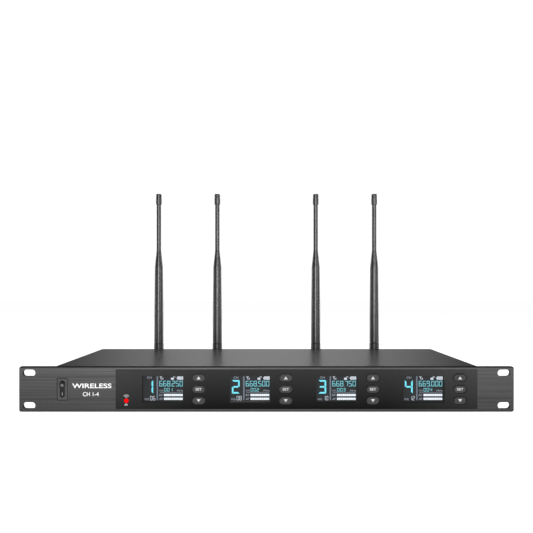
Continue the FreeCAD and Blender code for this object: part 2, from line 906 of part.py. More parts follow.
def chassis_tray():
    half = INNER_HALF
    inner = f"({half} - TraySheet)"
    floor_top = "ChassisBottom + TraySheet"
    floor = block(
        "TrayFloor", (f"-({half})", half), ("PanelThickness", REAR_FACE),
        ("ChassisBottom", floor_top),
    )
    walls = [
        block("TrayLeft", (f"-({half})", f"-{inner}"), ("PanelThickness", REAR_FACE),
              ("ChassisBottom", "TrayWall")),
        block("TrayRight", (inner, half), ("PanelThickness", REAR_FACE),
              ("ChassisBottom", "TrayWall")),
        block("TrayFront", (f"-({half})", half), ("PanelThickness", FRONT_WALL_BACK),
              ("ChassisBottom", INNER_TOP)),
        block("TrayRear", (f"-{inner}", inner), (f"{REAR_FACE} - TraySheet", REAR_FACE),
              ("ChassisBottom", "RearWall")),
    ]
    standoffs = [
        rod(f"Standoff{place}", "z", across, depth, floor_top,
            f"MainBoardZ - ({floor_top})", "StandoffRadius")
        for place, (across, depth) in enumerate(STANDOFFS)
    ]
    display_opening = block(
        "TrayDisplayOpening",
        ("FasciaLeft + WindowLedge", "FasciaRight - WindowLedge"),
        ("0", "PanelThickness + 2 * TraySheet"),
        ("PanelMiddle - WindowHeight / 2", "PanelMiddle + WindowHeight / 2"),
    )
    switch_opening = block(
        "TraySwitchOpening",
        ("SwitchX - SwitchWidth / 2 - 2", "SwitchX + SwitchWidth / 2 + 2"),
        ("0", "PanelThickness + 2 * TraySheet"),
        ("PanelMiddle - SwitchHeight / 2 - 2", "PanelMiddle + SwitchHeight / 2 + 2"),
    )
    holes = [display_opening, switch_opening]
    for place, (across, height) in enumerate(PANEL_SCREWS):
        holes.append(rod(f"TrayPanelHole{place}", "y", across, "PanelThickness",
                         f"PanelMiddle + {height}", "TraySheet", "SmallShank + PinPlay"))
    for place, (across, depth) in enumerate(STANDOFFS):
        holes.append(rod(f"StandoffHole{place}", "z", across, depth, "ChassisBottom + 2",
                         "MainBoardZ", "ShankRadius + PinPlay"))
    for place, depth in enumerate(COVER_SCREWS):
        holes.append(rod(f"TraySideHole{place}", "x", f"-({half})", depth, "SideScrewZ",
                         f"2 * ({half})", "ShankRadius + PinPlay"))
    for place, across in enumerate(REAR_SCREWS):
        holes.append(rod(f"TrayRearHole{place}", "y", across, f"{REAR_FACE} - TraySheet",
                         "RearScrewZ", "TraySheet", "ShankRadius + PinPlay"))
    tray = fuse("TrayFolded", [floor] + walls + standoffs)
    node("chassis_tray", cut("ChassisTray", tray, holes))


def top_cover():
    body = start_body("TopCover")
    outline = facing(body, "PanelThickness")
    rectangle(outline, "-ChassisWidth / 2", "ChassisWidth / 2", "ChassisBottom", "CoverTop")
    pad(body, outline, "ChassisBack - PanelThickness")
    fillet(
        body,
        "CoverBend",
        lambda edge: runs_along(edge, ALONG_Y)
        and edge.Vertexes[0].Z > number("CoverTop") - 1,
    )
    inside = facing(body, "PanelThickness")
    rectangle(inside, f"-({INNER_HALF})", INNER_HALF, "ChassisBottom", INNER_TOP)
    pocket(body, inside, "ChassisBack - PanelThickness")
    vent = sketch_on(body, "YZ_Plane")
    obround(vent, behind("FirstVent"), "(VentLow + VentHigh) / 2", "VentWidth",
            "VentHigh - VentLow")
    slot = pocket(body, vent, "ChassisWidth", symmetric=True)
    row = body.newObject("PartDesign::LinearPattern", "VentRow")
    row.Originals = [slot]
    row.Direction = (next(item for item in body.Origin.OriginFeatures
                          if item.Role == "Y_Axis"), [""])
    bind(row, Occurrences="VentCount", Length="(VentCount - 1) * VentPitch")
    body.Tip = row
    holes = sketch_on(body, "YZ_Plane")
    for depth in COVER_SCREWS:
        circle(holes, behind(depth), "SideScrewZ", "HoleRadius")
    pocket(body, holes, "ChassisWidth", symmetric=True)
    node("top_cover", body)


def rear_panel():
    body = start_body("RearPanel")
    plate = facing(body, REAR_FACE)
    rectangle(plate, f"-({INNER_HALF})", INNER_HALF, "ChassisBottom", INNER_TOP)
    pad(body, plate, "TraySheet")
    flange = facing(body, f"{REAR_FACE} - RearFlange")
    rectangle(flange, f"-({INNER_HALF})", INNER_HALF, f"{INNER_TOP} - TraySheet", INNER_TOP)
    pad(body, flange, "RearFlange")
    holes = facing(body, REAR_FACE)
    for across in ANTENNAS.values():
        circle(holes, across, "AxisHeight", "BarrelRadius + PinPlay")
    for across in OUTPUTS:
        circle(holes, across, "AxisHeight", "OutputRadius + 0.2")
        for side in SIDES:
            circle(holes, f"{across} + {side} * OutputScrewX",
                   f"AxisHeight + {side} * OutputScrewZ",
                   "HoleRadius")
    circle(holes, "MixX", "AxisHeight", "MixBushingRadius + PanelHolePlay")
    circle(holes, "InletX", "AxisHeight", "InletNoseRadius + PanelHolePlay")
    for across in REAR_SCREWS:
        circle(holes, across, "RearScrewZ", "HoleRadius")
    pocket(body, holes, "TraySheet")
    node("rear_panel", body)


def rubber_feet():
    feet = []
    for across in ("-FootX", "FootX"):
        for depth in ("FrontFoot", "RearFoot"):
            foot = doc.addObject("Part::Cone", f"Foot{len(feet)}")
            bind(foot, Radius1="FootRadius - 1", Radius2="FootRadius", Height="ChassisBottom")
            set_base(foot, across, depth, "0")
            feet.append(foot)
    node("rubber_feet", group("RubberFeet", feet))


# ---------------------------------------------------------------- boards and modules


def main_board():
    plate = block(
        "MainBoardPlate",
        ("-MainBoardWidth / 2", "MainBoardWidth / 2"),
        ("MainBoardFront", "ModuleBack"),
        ("MainBoardZ", BOARD_TOP),
    )
    holes = [
        rod(f"MainBoardHole{place}", "z", across, depth, "MainBoardZ", "BoardThickness",
            "HoleRadius")
        for place, (across, depth) in enumerate(STANDOFFS)
    ]
    header = block(
        "MainHeader", HEADER, ("MainBoardFront + 2", "MainBoardFront + 2 + HeaderHeight"),
        (BOARD_TOP, f"{BOARD_TOP} + HeaderHeight"),
    )
    node("main_board", group("MainBoard", [cut("MainBoardDrilled", plate, holes), header]))


def receiver_modules():
    """Four screening cans, open at the board."""
    cans = []
    for place, across in ANTENNAS.items():
        outside = block(
            f"Module{place}",
            (f"{across} - ModuleWidth / 2", f"{across} + ModuleWidth / 2"),
            ("ModuleBack - ModuleLength", "ModuleBack"),
            (BOARD_TOP, "ModuleTop"),
        )
        inside = block(
            f"ModuleInside{place}",
            (f"{across} - ModuleWidth / 2 + ModuleSheet",
             f"{across} + ModuleWidth / 2 - ModuleSheet"),
            ("ModuleBack - ModuleLength + ModuleSheet", "ModuleBack - ModuleSheet"),
            (BOARD_TOP, "ModuleTop - ModuleSheet"),
        )
        cans.append(cut(f"Can{place}", outside, [inside]))
    node("rf_modules", group("ReceiverModules", cans))


def power_capacitors():
    cans = [
        rod(f"Capacitor{place}", "z", across, "CapacitorDepth", BOARD_TOP, "CapacitorHeight",
            "CapacitorRadius")
        for place, across in enumerate(CAPACITORS)
    ]
    node("power_capacitors", group("PowerCapacitors", cans))


def ribbon_cable():
    """A flat cable from the front board's header down to the main board's."""
    body = start_body("RibbonCable")
    start = f"({behind(BOARD_BACK)} + HeaderHeight)"
    end = f"({behind('MainBoardFront')} + 2)"
    high = "(PanelMiddle - 0.6)"
    low = f"({BOARD_TOP} + 2 * RibbonThickness)"
    slope = "0.5"
    upper_bend = f"{start} + RibbonRun"
    lower_bend = f"{end} - RibbonRun"
    profile = sketch_on(body, "YZ_Plane", "(HeaderLeft + HeaderRight) / 2")
    polygon(
        profile,
        [
            (start, high),
            (upper_bend, high),
            (lower_bend, low),
            (end, low),
            (end, f"{low} + RibbonThickness"),
            (f"{lower_bend} + {slope}", f"{low} + RibbonThickness"),
            (f"{upper_bend} + {slope}", f"{high} + RibbonThickness"),
            (start, f"{high} + RibbonThickness"),
        ],
    )
    pad(body, profile, "RibbonWidth", symmetric=True)
    ends = (number(start), number(end))
    fillet(
        body,
        "RibbonBend",
        lambda edge: runs_along(edge, ALONG_X)
        and all(abs(edge.Vertexes[0].Y - value) > 0.01 for value in ends),
    )
    node("ribbon_cable", body)


# ---------------------------------------------------------------- screws


def screw(name, axis, toward, x, depth, z, length, head="HeadRadius", shank="ShankRadius"):
    """A pan head standing on a surface, its shank going in along the axis: toward is 1 or -1."""
    place = {"x": x, "y": depth, "z": z}
    low = dict(place)
    shank_start = place[axis] if toward > 0 else f"({place[axis]}) - ({length})"
    head_start = f"({place[axis]}) - HeadHeight" if toward > 0 else place[axis]
    low[axis] = shank_start
    body = rod(name + "Shank", axis, low["x"], low["y"], low["z"], length, shank)
    low[axis] = head_start
    top = rod(name + "Head", axis, low["x"], low["y"], low["z"], "HeadHeight", head)
    return fuse(name, [body, top])


def case_screws():
    screws = []
    for place, depth in enumerate(COVER_SCREWS):
        half = "ChassisWidth / 2"
        screws.append(screw(f"LeftScrew{place}", "x", 1, f"-{half}", depth, "SideScrewZ",
                            "CaseScrewLength"))
        screws.append(screw(f"RightScrew{place}", "x", -1, half, depth, "SideScrewZ",
                            "CaseScrewLength"))
    for place, across in enumerate(REAR_SCREWS):
        screws.append(screw(f"RearScrew{place}", "y", -1, across, "ChassisBack",
                            "RearScrewZ", "CaseScrewLength"))
    for place, (across, height) in enumerate(PANEL_SCREWS):
        screws.append(screw(f"PanelScrew{place}", "y", -1, across, FRONT_WALL_BACK,
                            f"PanelMiddle + {height}", "PanelScrewLength", "SmallHead",
                            "SmallShank"))
    for place, across in enumerate(boss_places()):
        screws.append(screw(f"BossScrew{place}", "y", -1, across, BOARD_BACK, "PanelMiddle",
                            "BoardScrewLength", "SmallHead", "SmallShank"))
    for place, (across, depth) in enumerate(STANDOFFS):
        screws.append(screw(f"BoardScrew{place}", "z", -1, across, depth,
                            BOARD_TOP, "BoardScrewLength"))
    for place, across in enumerate(OUTPUTS):
        for side in SIDES:
            name = f"OutputScrew{place}{'Low' if side == '-1' else 'High'}"
            screws.append(screw(name, "y", -1, f"{across} + {side} * OutputScrewX",
                                "ChassisBack + OutputFlange",
                                f"AxisHeight + {side} * OutputScrewZ", "OutputScrewLength"))
    node("pan_head_screws", group("PanHeadScrews", screws))


# ---------------------------------------------------------------- rear connectors


def output_sockets():
    """Four three-pin outputs: a flanged shell, an insulating insert and three contacts each."""
    shells, inserts, contacts = [], [], []
    insert_back = "(SocketFloor - InsertThickness)"
    flange_face = "(ChassisBack + OutputFlange)"
    for place, across in enumerate(OUTPUTS):
        flange = block(
            f"OutputFlange{place}",
            (f"{across} - OutputWidth / 2", f"{across} + OutputWidth / 2"),
            ("ChassisBack", flange_face),
            ("AxisHeight - OutputHeight / 2", "AxisHeight + OutputHeight / 2"),
        )
        barrel = rod(f"OutputBarrel{place}", "y", across, insert_back, "AxisHeight",
                     f"{flange_face} - {insert_back}", "OutputRadius")
        rim = rod(f"OutputRim{place}", "y", across, "ChassisBack", "AxisHeight",
                  "OutputFlange + OutputRim", "SocketRadius + OutputRimWall")
        bore = rod(f"OutputBore{place}", "y", across, insert_back, "AxisHeight", "30",
                   "SocketRadius")
        screw_holes = [
            rod(f"OutputHole{place}{side}", "y", f"{across} + {side} * OutputScrewX", "ChassisBack",
                f"AxisHeight + {side} * OutputScrewZ", "OutputFlange", "HoleRadius")
            for side in SIDES
        ]
        blank = fuse(f"OutputBlank{place}", [flange, barrel, rim])
        shells.append(cut(f"OutputShell{place}", blank, [bore] + screw_holes))
        disc = rod(f"InsertDisc{place}", "y", across, insert_back, "AxisHeight",
                   "InsertThickness", "SocketRadius - InsertPlay")
        holes = []
        for index, (along, up) in enumerate(((-0.86, 0.5), (0.86, 0.5), (0, -1))):
            contact_x = f"{across} + {along} * ContactCircle"
            contact_z = f"AxisHeight + {up} * ContactCircle"
            holes.append(rod(f"InsertHole{place}{index}", "y", contact_x, insert_back, contact_z,
                             "InsertThickness", "ContactRadius + InsertPlay"))
            contacts.append(rod(f"Contact{place}{index}", "y", contact_x,
                                f"{insert_back} - ContactTail", contact_z, "ContactLength",
                                "ContactRadius"))
        inserts.append(cut(f"Insert{place}", disc, holes))
    node("xlr_shells", group("OutputShells", shells))
    node("xlr_inserts", group("OutputInserts", inserts))
    node("xlr_pins", group("OutputContacts", contacts))


def mix_jack():
    case = block("MixCase", ("MixX - MixCaseWidth / 2", "MixX + MixCaseWidth / 2"),
                 ("MixCaseFront", REAR_FACE),
                 ("AxisHeight - MixCaseHeight / 2", "AxisHeight + MixCaseHeight / 2"))
    bushing = rod("MixBushing", "y", "MixX", REAR_FACE, "AxisHeight",
                  "TraySheet + MixBushingReach", "MixBushingRadius")
    bore = rod("MixBore", "y", "MixX", "MixBoreFloor", "AxisHeight", "30",
               "MixBoreRadius")
    node("mix_jack", cut("MixJack", fuse("MixBlank", [case, bushing]), [bore]))


def dc_inlet():
    case = block("InletCase", ("InletX - InletCaseWidth / 2", "InletX + InletCaseWidth / 2"),
                 ("InletCaseFront", REAR_FACE),
                 ("AxisHeight - InletCaseHeight / 2", "AxisHeight + InletCaseHeight / 2"))
    nose = rod("InletNose", "y", "InletX", REAR_FACE, "AxisHeight",
               "TraySheet + InletNoseReach", "InletNoseRadius")
    bore = rod("InletBore", "y", "InletX", "InletBoreFloor", "AxisHeight", "12",
               "InletBoreRadius")
    contact = rod("InletContact", "y", "InletX", "InletContactRoot", "AxisHeight",
                  "InletContactLength", "InletContactRadius")
    shell = cut("InletShell", fuse("InletBlank", [case, nose]), [bore])
    node("dc_inlet", fuse("Inlet", [shell, contact]))


def hex_nut(name, across, flats, hole, thickness):
    prism = doc.addObject("Part::Prism", name + "Prism")
    prism.Polygon = 6
    prism.Placement = Placement(Vector(), TURNS["y"])
    bind(prism, Circumradius=f"{flats} / sqrt(3)", Height=thickness)
    set_base(prism, across, "ChassisBack", "AxisHeight")
    bore = rod(name + "Bore", "y", across, "ChassisBack", "AxisHeight", thickness, hole)
    return cut(name, prism, [bore])


def connector_nuts():
    nuts = [
        hex_nut(f"JackNut{place}", across, "NutFlats", "BarrelRadius", "NutThickness")
        for place, across in ANTENNAS.items()
    ]
    nuts.append(hex_nut("MixNut", "MixX", "MixNutFlats", "MixBushingRadius",
                        "MixNutThickness"))
    node("connector_nuts", group("ConnectorNuts", nuts))


def antenna_jack(place, across):
    """A bayonet jack: flange inside the rear panel, open barrel outside it, two side lugs."""
    body = start_body(f"AntennaJack{place}")
    profile = sketch_on(body, "YZ_Plane")
    inner_end = "(ModuleBack - PivotDepth)"
    panel_inside = f"({REAR_FACE} - PivotDepth)"
    mouth = "(BarrelMouth - PivotDepth)"
    floor = "(BarrelFloor - PivotDepth)"
    contact = "(SocketTip - PivotDepth)"
    polygon(
        profile,
        [
            (inner_end, "0"),
            (inner_end, "JackBodyRadius"),
            (f"{panel_inside} - JackFlangeThickness", "JackBodyRadius"),
            (f"{panel_inside} - JackFlangeThickness", "JackFlangeRadius"),
            (panel_inside, "JackFlangeRadius"),
            (panel_inside, "BarrelRadius"),
            (mouth, "BarrelRadius"),
            (mouth, "BarrelBore"),
            (floor, "BarrelBore"),
            (floor, "SocketTubeRadius"),
            (contact, "SocketTubeRadius"),
            (contact, "SocketTubeBore"),
            (f"{floor} + 0.4", "SocketTubeBore"),
            (f"{floor} + 0.4", "0"),
        ],
    )
    turn(body, profile, "H_Axis")
    for side, sign in (("Left", "-1"), ("Right", "1")):
        lug = sketch_on(body, "YZ_Plane", f"{sign} * LugReach")
        circle(lug, "LugDepth - PivotDepth", "0", "LugRadius")
        stub = pad(body, lug, "LugHeight")
        stub.Reversed = side == "Right"
        stub.Label = f"{side}Lug{place}"
    set_base(body, across, "PivotDepth", "AxisHeight")
    return body


def antenna_jacks():
    jacks = [antenna_jack(place, across) for place, across in ANTENNAS.items()]
    node("antenna_jacks", group("AntennaJacks", jacks))


# ---------------------------------------------------------------- antennas


def antenna_collar(place, across):
    """The knurled bayonet ring, with a groove for the lugs and two entry slots."""
    body = start_body(f"AntennaCollar{place}")
    mouth = "(CollarMouth - PivotDepth)"
    back = "(CollarBack - PivotDepth)"
    groove = "(LugDepth - PivotDepth)"
    profile = sketch_on(body, "YZ_Plane")
    polygon(
        profile,
        [
            (mouth, "CollarBore"),
            (mouth, "CollarRadius - CollarEdge"),
            (f"{mouth} + CollarEdge", "CollarRadius"),
            (f"{back} - CollarEdge", "CollarRadius"),
            (back, "CollarRadius - CollarEdge"),
            (back, "CollarLip"),
            (f"{back} - CollarLipLength", "CollarLip"),
            (f"{back} - CollarLipLength", "CollarBore"),
            (f"{groove} + LugRadius + LugPlay", "CollarBore"),
            (f"{groove} + LugRadius + LugPlay", "CollarGroove"),
            (f"{groove} - LugRadius - LugPlay", "CollarGroove"),
            (f"{groove} - LugRadius - LugPlay", "CollarBore"),
        ],
    )
    turn(body, profile, "H_Axis")
    entry = sketch_on(body, "XZ_Plane", f"-{mouth}")
    centred_rectangle(entry, "0", "0", "2 * (LugRadius + LugPlay)", "2 * CollarGroove")
    pocket(body, entry, f"{groove} - {mouth}")
    knurl = sketch_on(body, "XZ_Plane", f"-{mouth}")
    circle(knurl, "0", "CollarRadius", "KnurlRadius")
    flute = pocket(body, knurl, f"{back} - {mouth}")
    ring = body.newObject("PartDesign::PolarPattern", f"Knurl{place}")
    ring.Originals = [flute]
    ring.Axis = (next(item for item in body.Origin.OriginFeatures
                      if item.Role == "Y_Axis"), [""])
    ring.Angle = 360
    bind(ring, Occurrences="KnurlCount")
    body.Tip = ring
    set_base(body, across, "PivotDepth", "AxisHeight")
    node(f"antenna_collar_{place}", body)


def antenna_plug(place, across):
    """The turning core: a contact pin, a sleeve in the jack and the fork that holds the whip."""
    body = start_body(f"AntennaPlug{place}")
    root = "(PlugRoot - PivotDepth)"
    sleeve = "(SleeveEnd - PivotDepth)"
    shoulder = "(PlugShoulder - PivotDepth)"
    knuckle = "(KnuckleStart - PivotDepth)"
    profile = sketch_on(body, "YZ_Plane")
    polygon(
        profile,
        [
            (f"{sleeve} + 0.6", "0"),
            (f"{sleeve} + 0.6", "PlugContactRadius"),
            (root, "PlugContactRadius"),
            (root, "SleeveBore"),
            (sleeve, "SleeveBore"),
            (sleeve, "SleeveRadius"),
            (shoulder, "SleeveRadius"),
            (shoulder, "ShoulderRadius"),
            (f"{shoulder} + ShoulderThickness", "ShoulderRadius"),
            (f"{shoulder} + ShoulderThickness", "PlugNeckRadius"),
            (knuckle, "PlugNeckRadius"),
            (knuckle, "KnuckleRadius"),
            ("KnuckleRadius", "KnuckleRadius"),
            ("KnuckleRadius", "0"),
        ],
    )
    turn(body, profile, "H_Axis")
    end = number("KnuckleRadius")
    fillet(
        body,
        "KnuckleRadius - 0.2",
        lambda edge: isinstance(edge.Curve, Part.Circle)
        and abs(edge.Curve.Center.y - end) < 0.001,
    )
    fork = sketch_on(body, "YZ_Plane")
    rectangle(fork, "-KnuckleRadius - 0.2", "KnuckleRadius + 1", "-KnuckleRadius - 1",
              "KnuckleRadius + 1")
    pocket(body, fork, "ForkGap", symmetric=True)
    bearing = sketch_on(body, "YZ_Plane")
    circle(bearing, "0", "0", "PinRadius")
    pocket(body, bearing, "4 * KnuckleRadius", symmetric=True)
    set_base(body, across, "PivotDepth", "AxisHeight")
    node(f"antenna_plug_{place}", body)


def antenna_pin(place, across):
    pin = rod(f"AntennaPin{place}", "x", f"{across} - KnuckleRadius + 0.3", "PivotDepth",
              "AxisHeight", "2 * (KnuckleRadius - 0.3)", "PinRadius")
    node(f"antenna_pin_{place}", pin)


def antenna_whip(place, across):
    """A rubber whip: foot, groove, long taper, short taper and thin rod, on a flat tongue."""
    body = start_body(f"AntennaWhip{place}")
    profile = sketch_on(body, "YZ_Plane")
    polygon(
        profile,
        [
            ("0", "ShoulderZ"),
            ("WhipFoot - WhipEdge", "ShoulderZ"),
            ("WhipFoot", "ShoulderZ + WhipEdge"),
            ("WhipFoot", "GrooveZ - 1"),
            ("WhipFoot - WhipGroove", "GrooveZ - 0.4"),
            ("WhipFoot - WhipGroove", "GrooveZ + 0.3"),
            ("WhipLow", "GrooveZ + 0.7"),
            ("WhipWaist", "WaistZ"),
            ("RodRadius", "RodZ"),
            ("RodRadius", "TipZ + TipBore"),
            ("0", "TipZ + TipBore"),
        ],
    )
    turn(body, profile, "V_Axis")
    waist, rod_start = number("WaistZ"), number("RodZ")
    fillet(
        body,
        "WhipBlend",
        lambda edge: isinstance(edge.Curve, Part.Circle)
        and min(abs(edge.Curve.Center.z - waist), abs(edge.Curve.Center.z - rod_start)) < 0.001,
    )
    tongue = sketch_on(body, "YZ_Plane")
    rectangle(tongue, "-TongueRadius + 0.6", "TongueRadius - 0.6", "-TongueRadius",
              "ShoulderZ + 0.5")
    pad(body, tongue, "ForkGap - 2 * TonguePlay", symmetric=True)
    fillet(
        body,
        "TongueRadius - 0.7",
        lambda edge: runs_along(edge, ALONG_X)
        and edge.Vertexes[0].Z < number("-TongueRadius") + 0.001,
    )
    bearing = sketch_on(body, "YZ_Plane")
    circle(bearing, "0", "0", "PinRadius + PinPlay")
    pocket(body, bearing, "2 * ForkGap", symmetric=True)
    set_base(body, across, "PivotDepth", "AxisHeight")
    node(f"antenna_whip_{place}", body)


def antenna_tip(place, across):
    body = start_body(f"AntennaTip{place}")
    profile = sketch_on(body, "YZ_Plane")
    polygon(
        profile,
        [
            ("RodRadius + 0.02", "TipZ"),
            ("TipRadius - TipRing", "TipZ"),
            ("TipRadius", "TipZ + 0.5"),
            ("TipRadius", "WhipTop - 5.1"),
            ("TipRadius - TipRing", "WhipTop - 4.8"),
            ("TipRadius - TipRing", "WhipTop - 4.2"),
            ("TipRadius", "WhipTop - 3.9"),
            ("TipRadius", "WhipTop - 2.6"),
            ("TipRadius - TipRing", "WhipTop - 2.3"),
            ("TipRadius - TipRing", "WhipTop - 1.7"),
            ("TipRadius", "WhipTop - 1.4"),
            ("TipRadius", "WhipTop - 0.8"),
            ("TipRadius - 0.8", "WhipTop"),
            ("0", "WhipTop"),
            ("0", "TipZ + TipBore + 0.1"),
            ("RodRadius + 0.02", "TipZ + TipBore + 0.1"),
        ],
    )
    turn(body, profile, "V_Axis")
    set_base(body, across, "PivotDepth", "AxisHeight")
    node(f"antenna_tip_{place}", body)


# ---------------------------------------------------------------- the whole receiver


front_panel()
display_fascia()
infrared_window()
displays()
for channel_number in CHANNELS:
    for row_name, row_height in BUTTON_ROWS.items():
        button(row_name, channel_number, row_height)
front_board()
tact_switches()
switch_housing()
power_rocker()
chassis_tray()
top_cover()
rear_panel()
rubber_feet()
main_board()
receiver_modules()
power_capacitors()
ribbon_cable()
case_screws()
output_sockets()
mix_jack()
dc_inlet()
connector_nuts()
antenna_jacks()
for antenna_number, antenna_x in ANTENNAS.items():
    antenna_collar(antenna_number, antenna_x)
    antenna_plug(antenna_number, antenna_x)
    antenna_pin(antenna_number, antenna_x)
    antenna_whip(antenna_number, antenna_x)
    antenna_tip(antenna_number, antenna_x)

doc.recompute()
for item in doc.Objects:
    if "Invalid" in item.State or "Error" in item.State:
        raise RuntimeError(f"{item.Label} did not recompute: {item.State}")
for piece in nodes:
    if piece.Shape.isNull() or not piece.Shape.isValid():
        raise RuntimeError(f"{piece.Label} has no valid shape")

os.makedirs("parts", exist_ok=True)
for piece in nodes:
    piece.Shape.exportStep(f"parts/{piece.Label}.step")
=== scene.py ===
import math

import bmesh
import bpy
from mathutils import Matrix, Vector


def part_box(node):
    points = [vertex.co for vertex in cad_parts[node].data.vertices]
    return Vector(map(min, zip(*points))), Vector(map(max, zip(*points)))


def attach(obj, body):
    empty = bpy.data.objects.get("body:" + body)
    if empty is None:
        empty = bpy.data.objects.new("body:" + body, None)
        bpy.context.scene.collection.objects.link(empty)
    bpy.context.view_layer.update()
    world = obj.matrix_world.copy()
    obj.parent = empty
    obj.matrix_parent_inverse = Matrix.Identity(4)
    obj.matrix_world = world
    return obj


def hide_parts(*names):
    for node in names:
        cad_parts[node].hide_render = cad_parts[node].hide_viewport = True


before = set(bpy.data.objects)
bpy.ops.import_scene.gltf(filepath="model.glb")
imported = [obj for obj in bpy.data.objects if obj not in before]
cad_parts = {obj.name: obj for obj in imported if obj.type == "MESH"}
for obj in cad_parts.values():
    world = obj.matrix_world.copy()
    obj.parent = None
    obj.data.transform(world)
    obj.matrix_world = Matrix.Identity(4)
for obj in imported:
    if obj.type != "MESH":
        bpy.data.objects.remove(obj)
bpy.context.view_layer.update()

MM = 0.001
CHANNELS = (1, 2, 3, 4)
ROWS = ("up", "set", "down")
ANTENNAS = (1, 2, 3, 4)

panel_low, panel_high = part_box("front_panel")
FRONT = panel_low.y
PANEL_MIDDLE = (panel_low.z + panel_high.z) / 2
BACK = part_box("rear_panel")[1].y

# How far printed and lit marks stand out of the surface that they lie on.
INK = 0.05 * MM


def middle_of(node):
    """The centre of a node's box."""
    low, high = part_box(node)
    return (low + high) / 2


# ---------------------------------------------------------------- materials


def node_material(name):
    """A new material with its node tree and its Principled shader."""
    made = bpy.data.materials.new(name)
    made.use_nodes = True
    tree = made.node_tree
    return made, tree.nodes, tree.links, tree.nodes["Principled BSDF"]


def noise(nodes, links, stretch, scale, detail=3.0, roughness=0.55):
    """Noise in the object's own space, stretched along its axes."""
    place = nodes.new("ShaderNodeTexCoord")
    mapping = nodes.new("ShaderNodeMapping")
    mapping.inputs["Scale"].default_value = stretch
    pattern = nodes.new("ShaderNodeTexNoise")
    pattern.inputs["Scale"].default_value = scale
    pattern.inputs["Detail"].default_value = detail
    pattern.inputs["Roughness"].default_value = roughness
    links.new(place.outputs["Object"], mapping.inputs["Vector"])
    links.new(mapping.outputs["Vector"], pattern.inputs["Vector"])
    return pattern.outputs["Fac"]


def ramp(nodes, links, factor, stops):
    """A colour ramp through (position, colour) stops."""
    made = nodes.new("ShaderNodeValToRGB")
    band = made.color_ramp
    while len(band.elements) < len(stops):
        band.elements.new(0.5)
    for element, (position, colour) in zip(band.elements, stops):
        element.position = position
        element.color = (*colour, 1.0)
    links.new(factor, made.inputs["Fac"])
    return made.outputs["Color"]


def span(nodes, links, value, low, high, start=0.0, end=1.0):
    """Map a value from one range to another."""
    made = nodes.new("ShaderNodeMapRange")
    made.inputs["From Min"].default_value = start
    made.inputs["From Max"].default_value = end
    made.inputs["To Min"].default_value = low
    made.inputs["To Max"].default_value = high
    links.new(value, made.inputs["Value"])
    return made.outputs["Result"]


def height_map(nodes, links, shader, height, strength, distance):
    """Relief from a height pattern, up to a distance in metres."""
    bump = nodes.new("ShaderNodeBump")
    bump.inputs["Strength"].default_value = strength
    bump.inputs["Distance"].default_value = distance
    links.new(height, bump.inputs["Height"])
    links.new(bump.outputs["Normal"], shader.inputs["Normal"])


def grey(value):
    """A neutral colour."""
    return (value, value, value)


def finish(name, dark, light, rough, scale=900.0, stretch=(1, 1, 1), bump=0.15,
           metallic=0.0, specular=0.5, depth=0.00004, glow=(0.0, 0.0, 0.0)):
    """A moulded, painted or plated surface: fine grain in colour, roughness and relief."""
    made, nodes, links, shader = node_material(name)
    grain = noise(nodes, links, stretch, scale)
    links.new(ramp(nodes, links, grain, [(0.3, dark), (0.7, light)]),
              shader.inputs["Base Color"])
    links.new(span(nodes, links, grain, rough[0], rough[1], 0.3, 0.7),
              shader.inputs["Roughness"])
    shader.inputs["Metallic"].default_value = metallic
    shader.inputs["Specular IOR Level"].default_value = specular
    shader.inputs["Emission Color"].default_value = (*glow, 1.0)
    shader.inputs["Emission Strength"].default_value = 1.0 if any(glow) else 0.0
    height_map(nodes, links, shader, grain, bump, depth)
    return made


def along_axis(nodes, links, axis, low, high, output="Object"):
    """How far a point's place, or its normal, is along an axis between two values."""
    place = nodes.new("ShaderNodeTexCoord")
    axes = nodes.new("ShaderNodeSeparateXYZ")
    links.new(place.outputs[output], axes.inputs["Vector"])
    return span(nodes, links, axes.outputs[axis], 0.0, 1.0, low, high)


def upright(nodes, links, low, high):
    """How far up a point is between two heights, from 0 to 1."""
    return along_axis(nodes, links, "Z", low, high)


def tint(nodes, links, factor, colour_a, colour_b, blend="MIX"):
    """Two colours blended by a factor, or in full where no factor is given."""
    made = nodes.new("ShaderNodeMix")
    made.data_type = "RGBA"
    made.blend_type = blend
    factor_input, first, second = made.inputs[0], made.inputs[6], made.inputs[7]
    factor_input.default_value = 1.0
    if factor:
        links.new(factor, factor_input)
    links.new(colour_a, first)
    links.new(colour_b, second)
    return made.outputs[2]


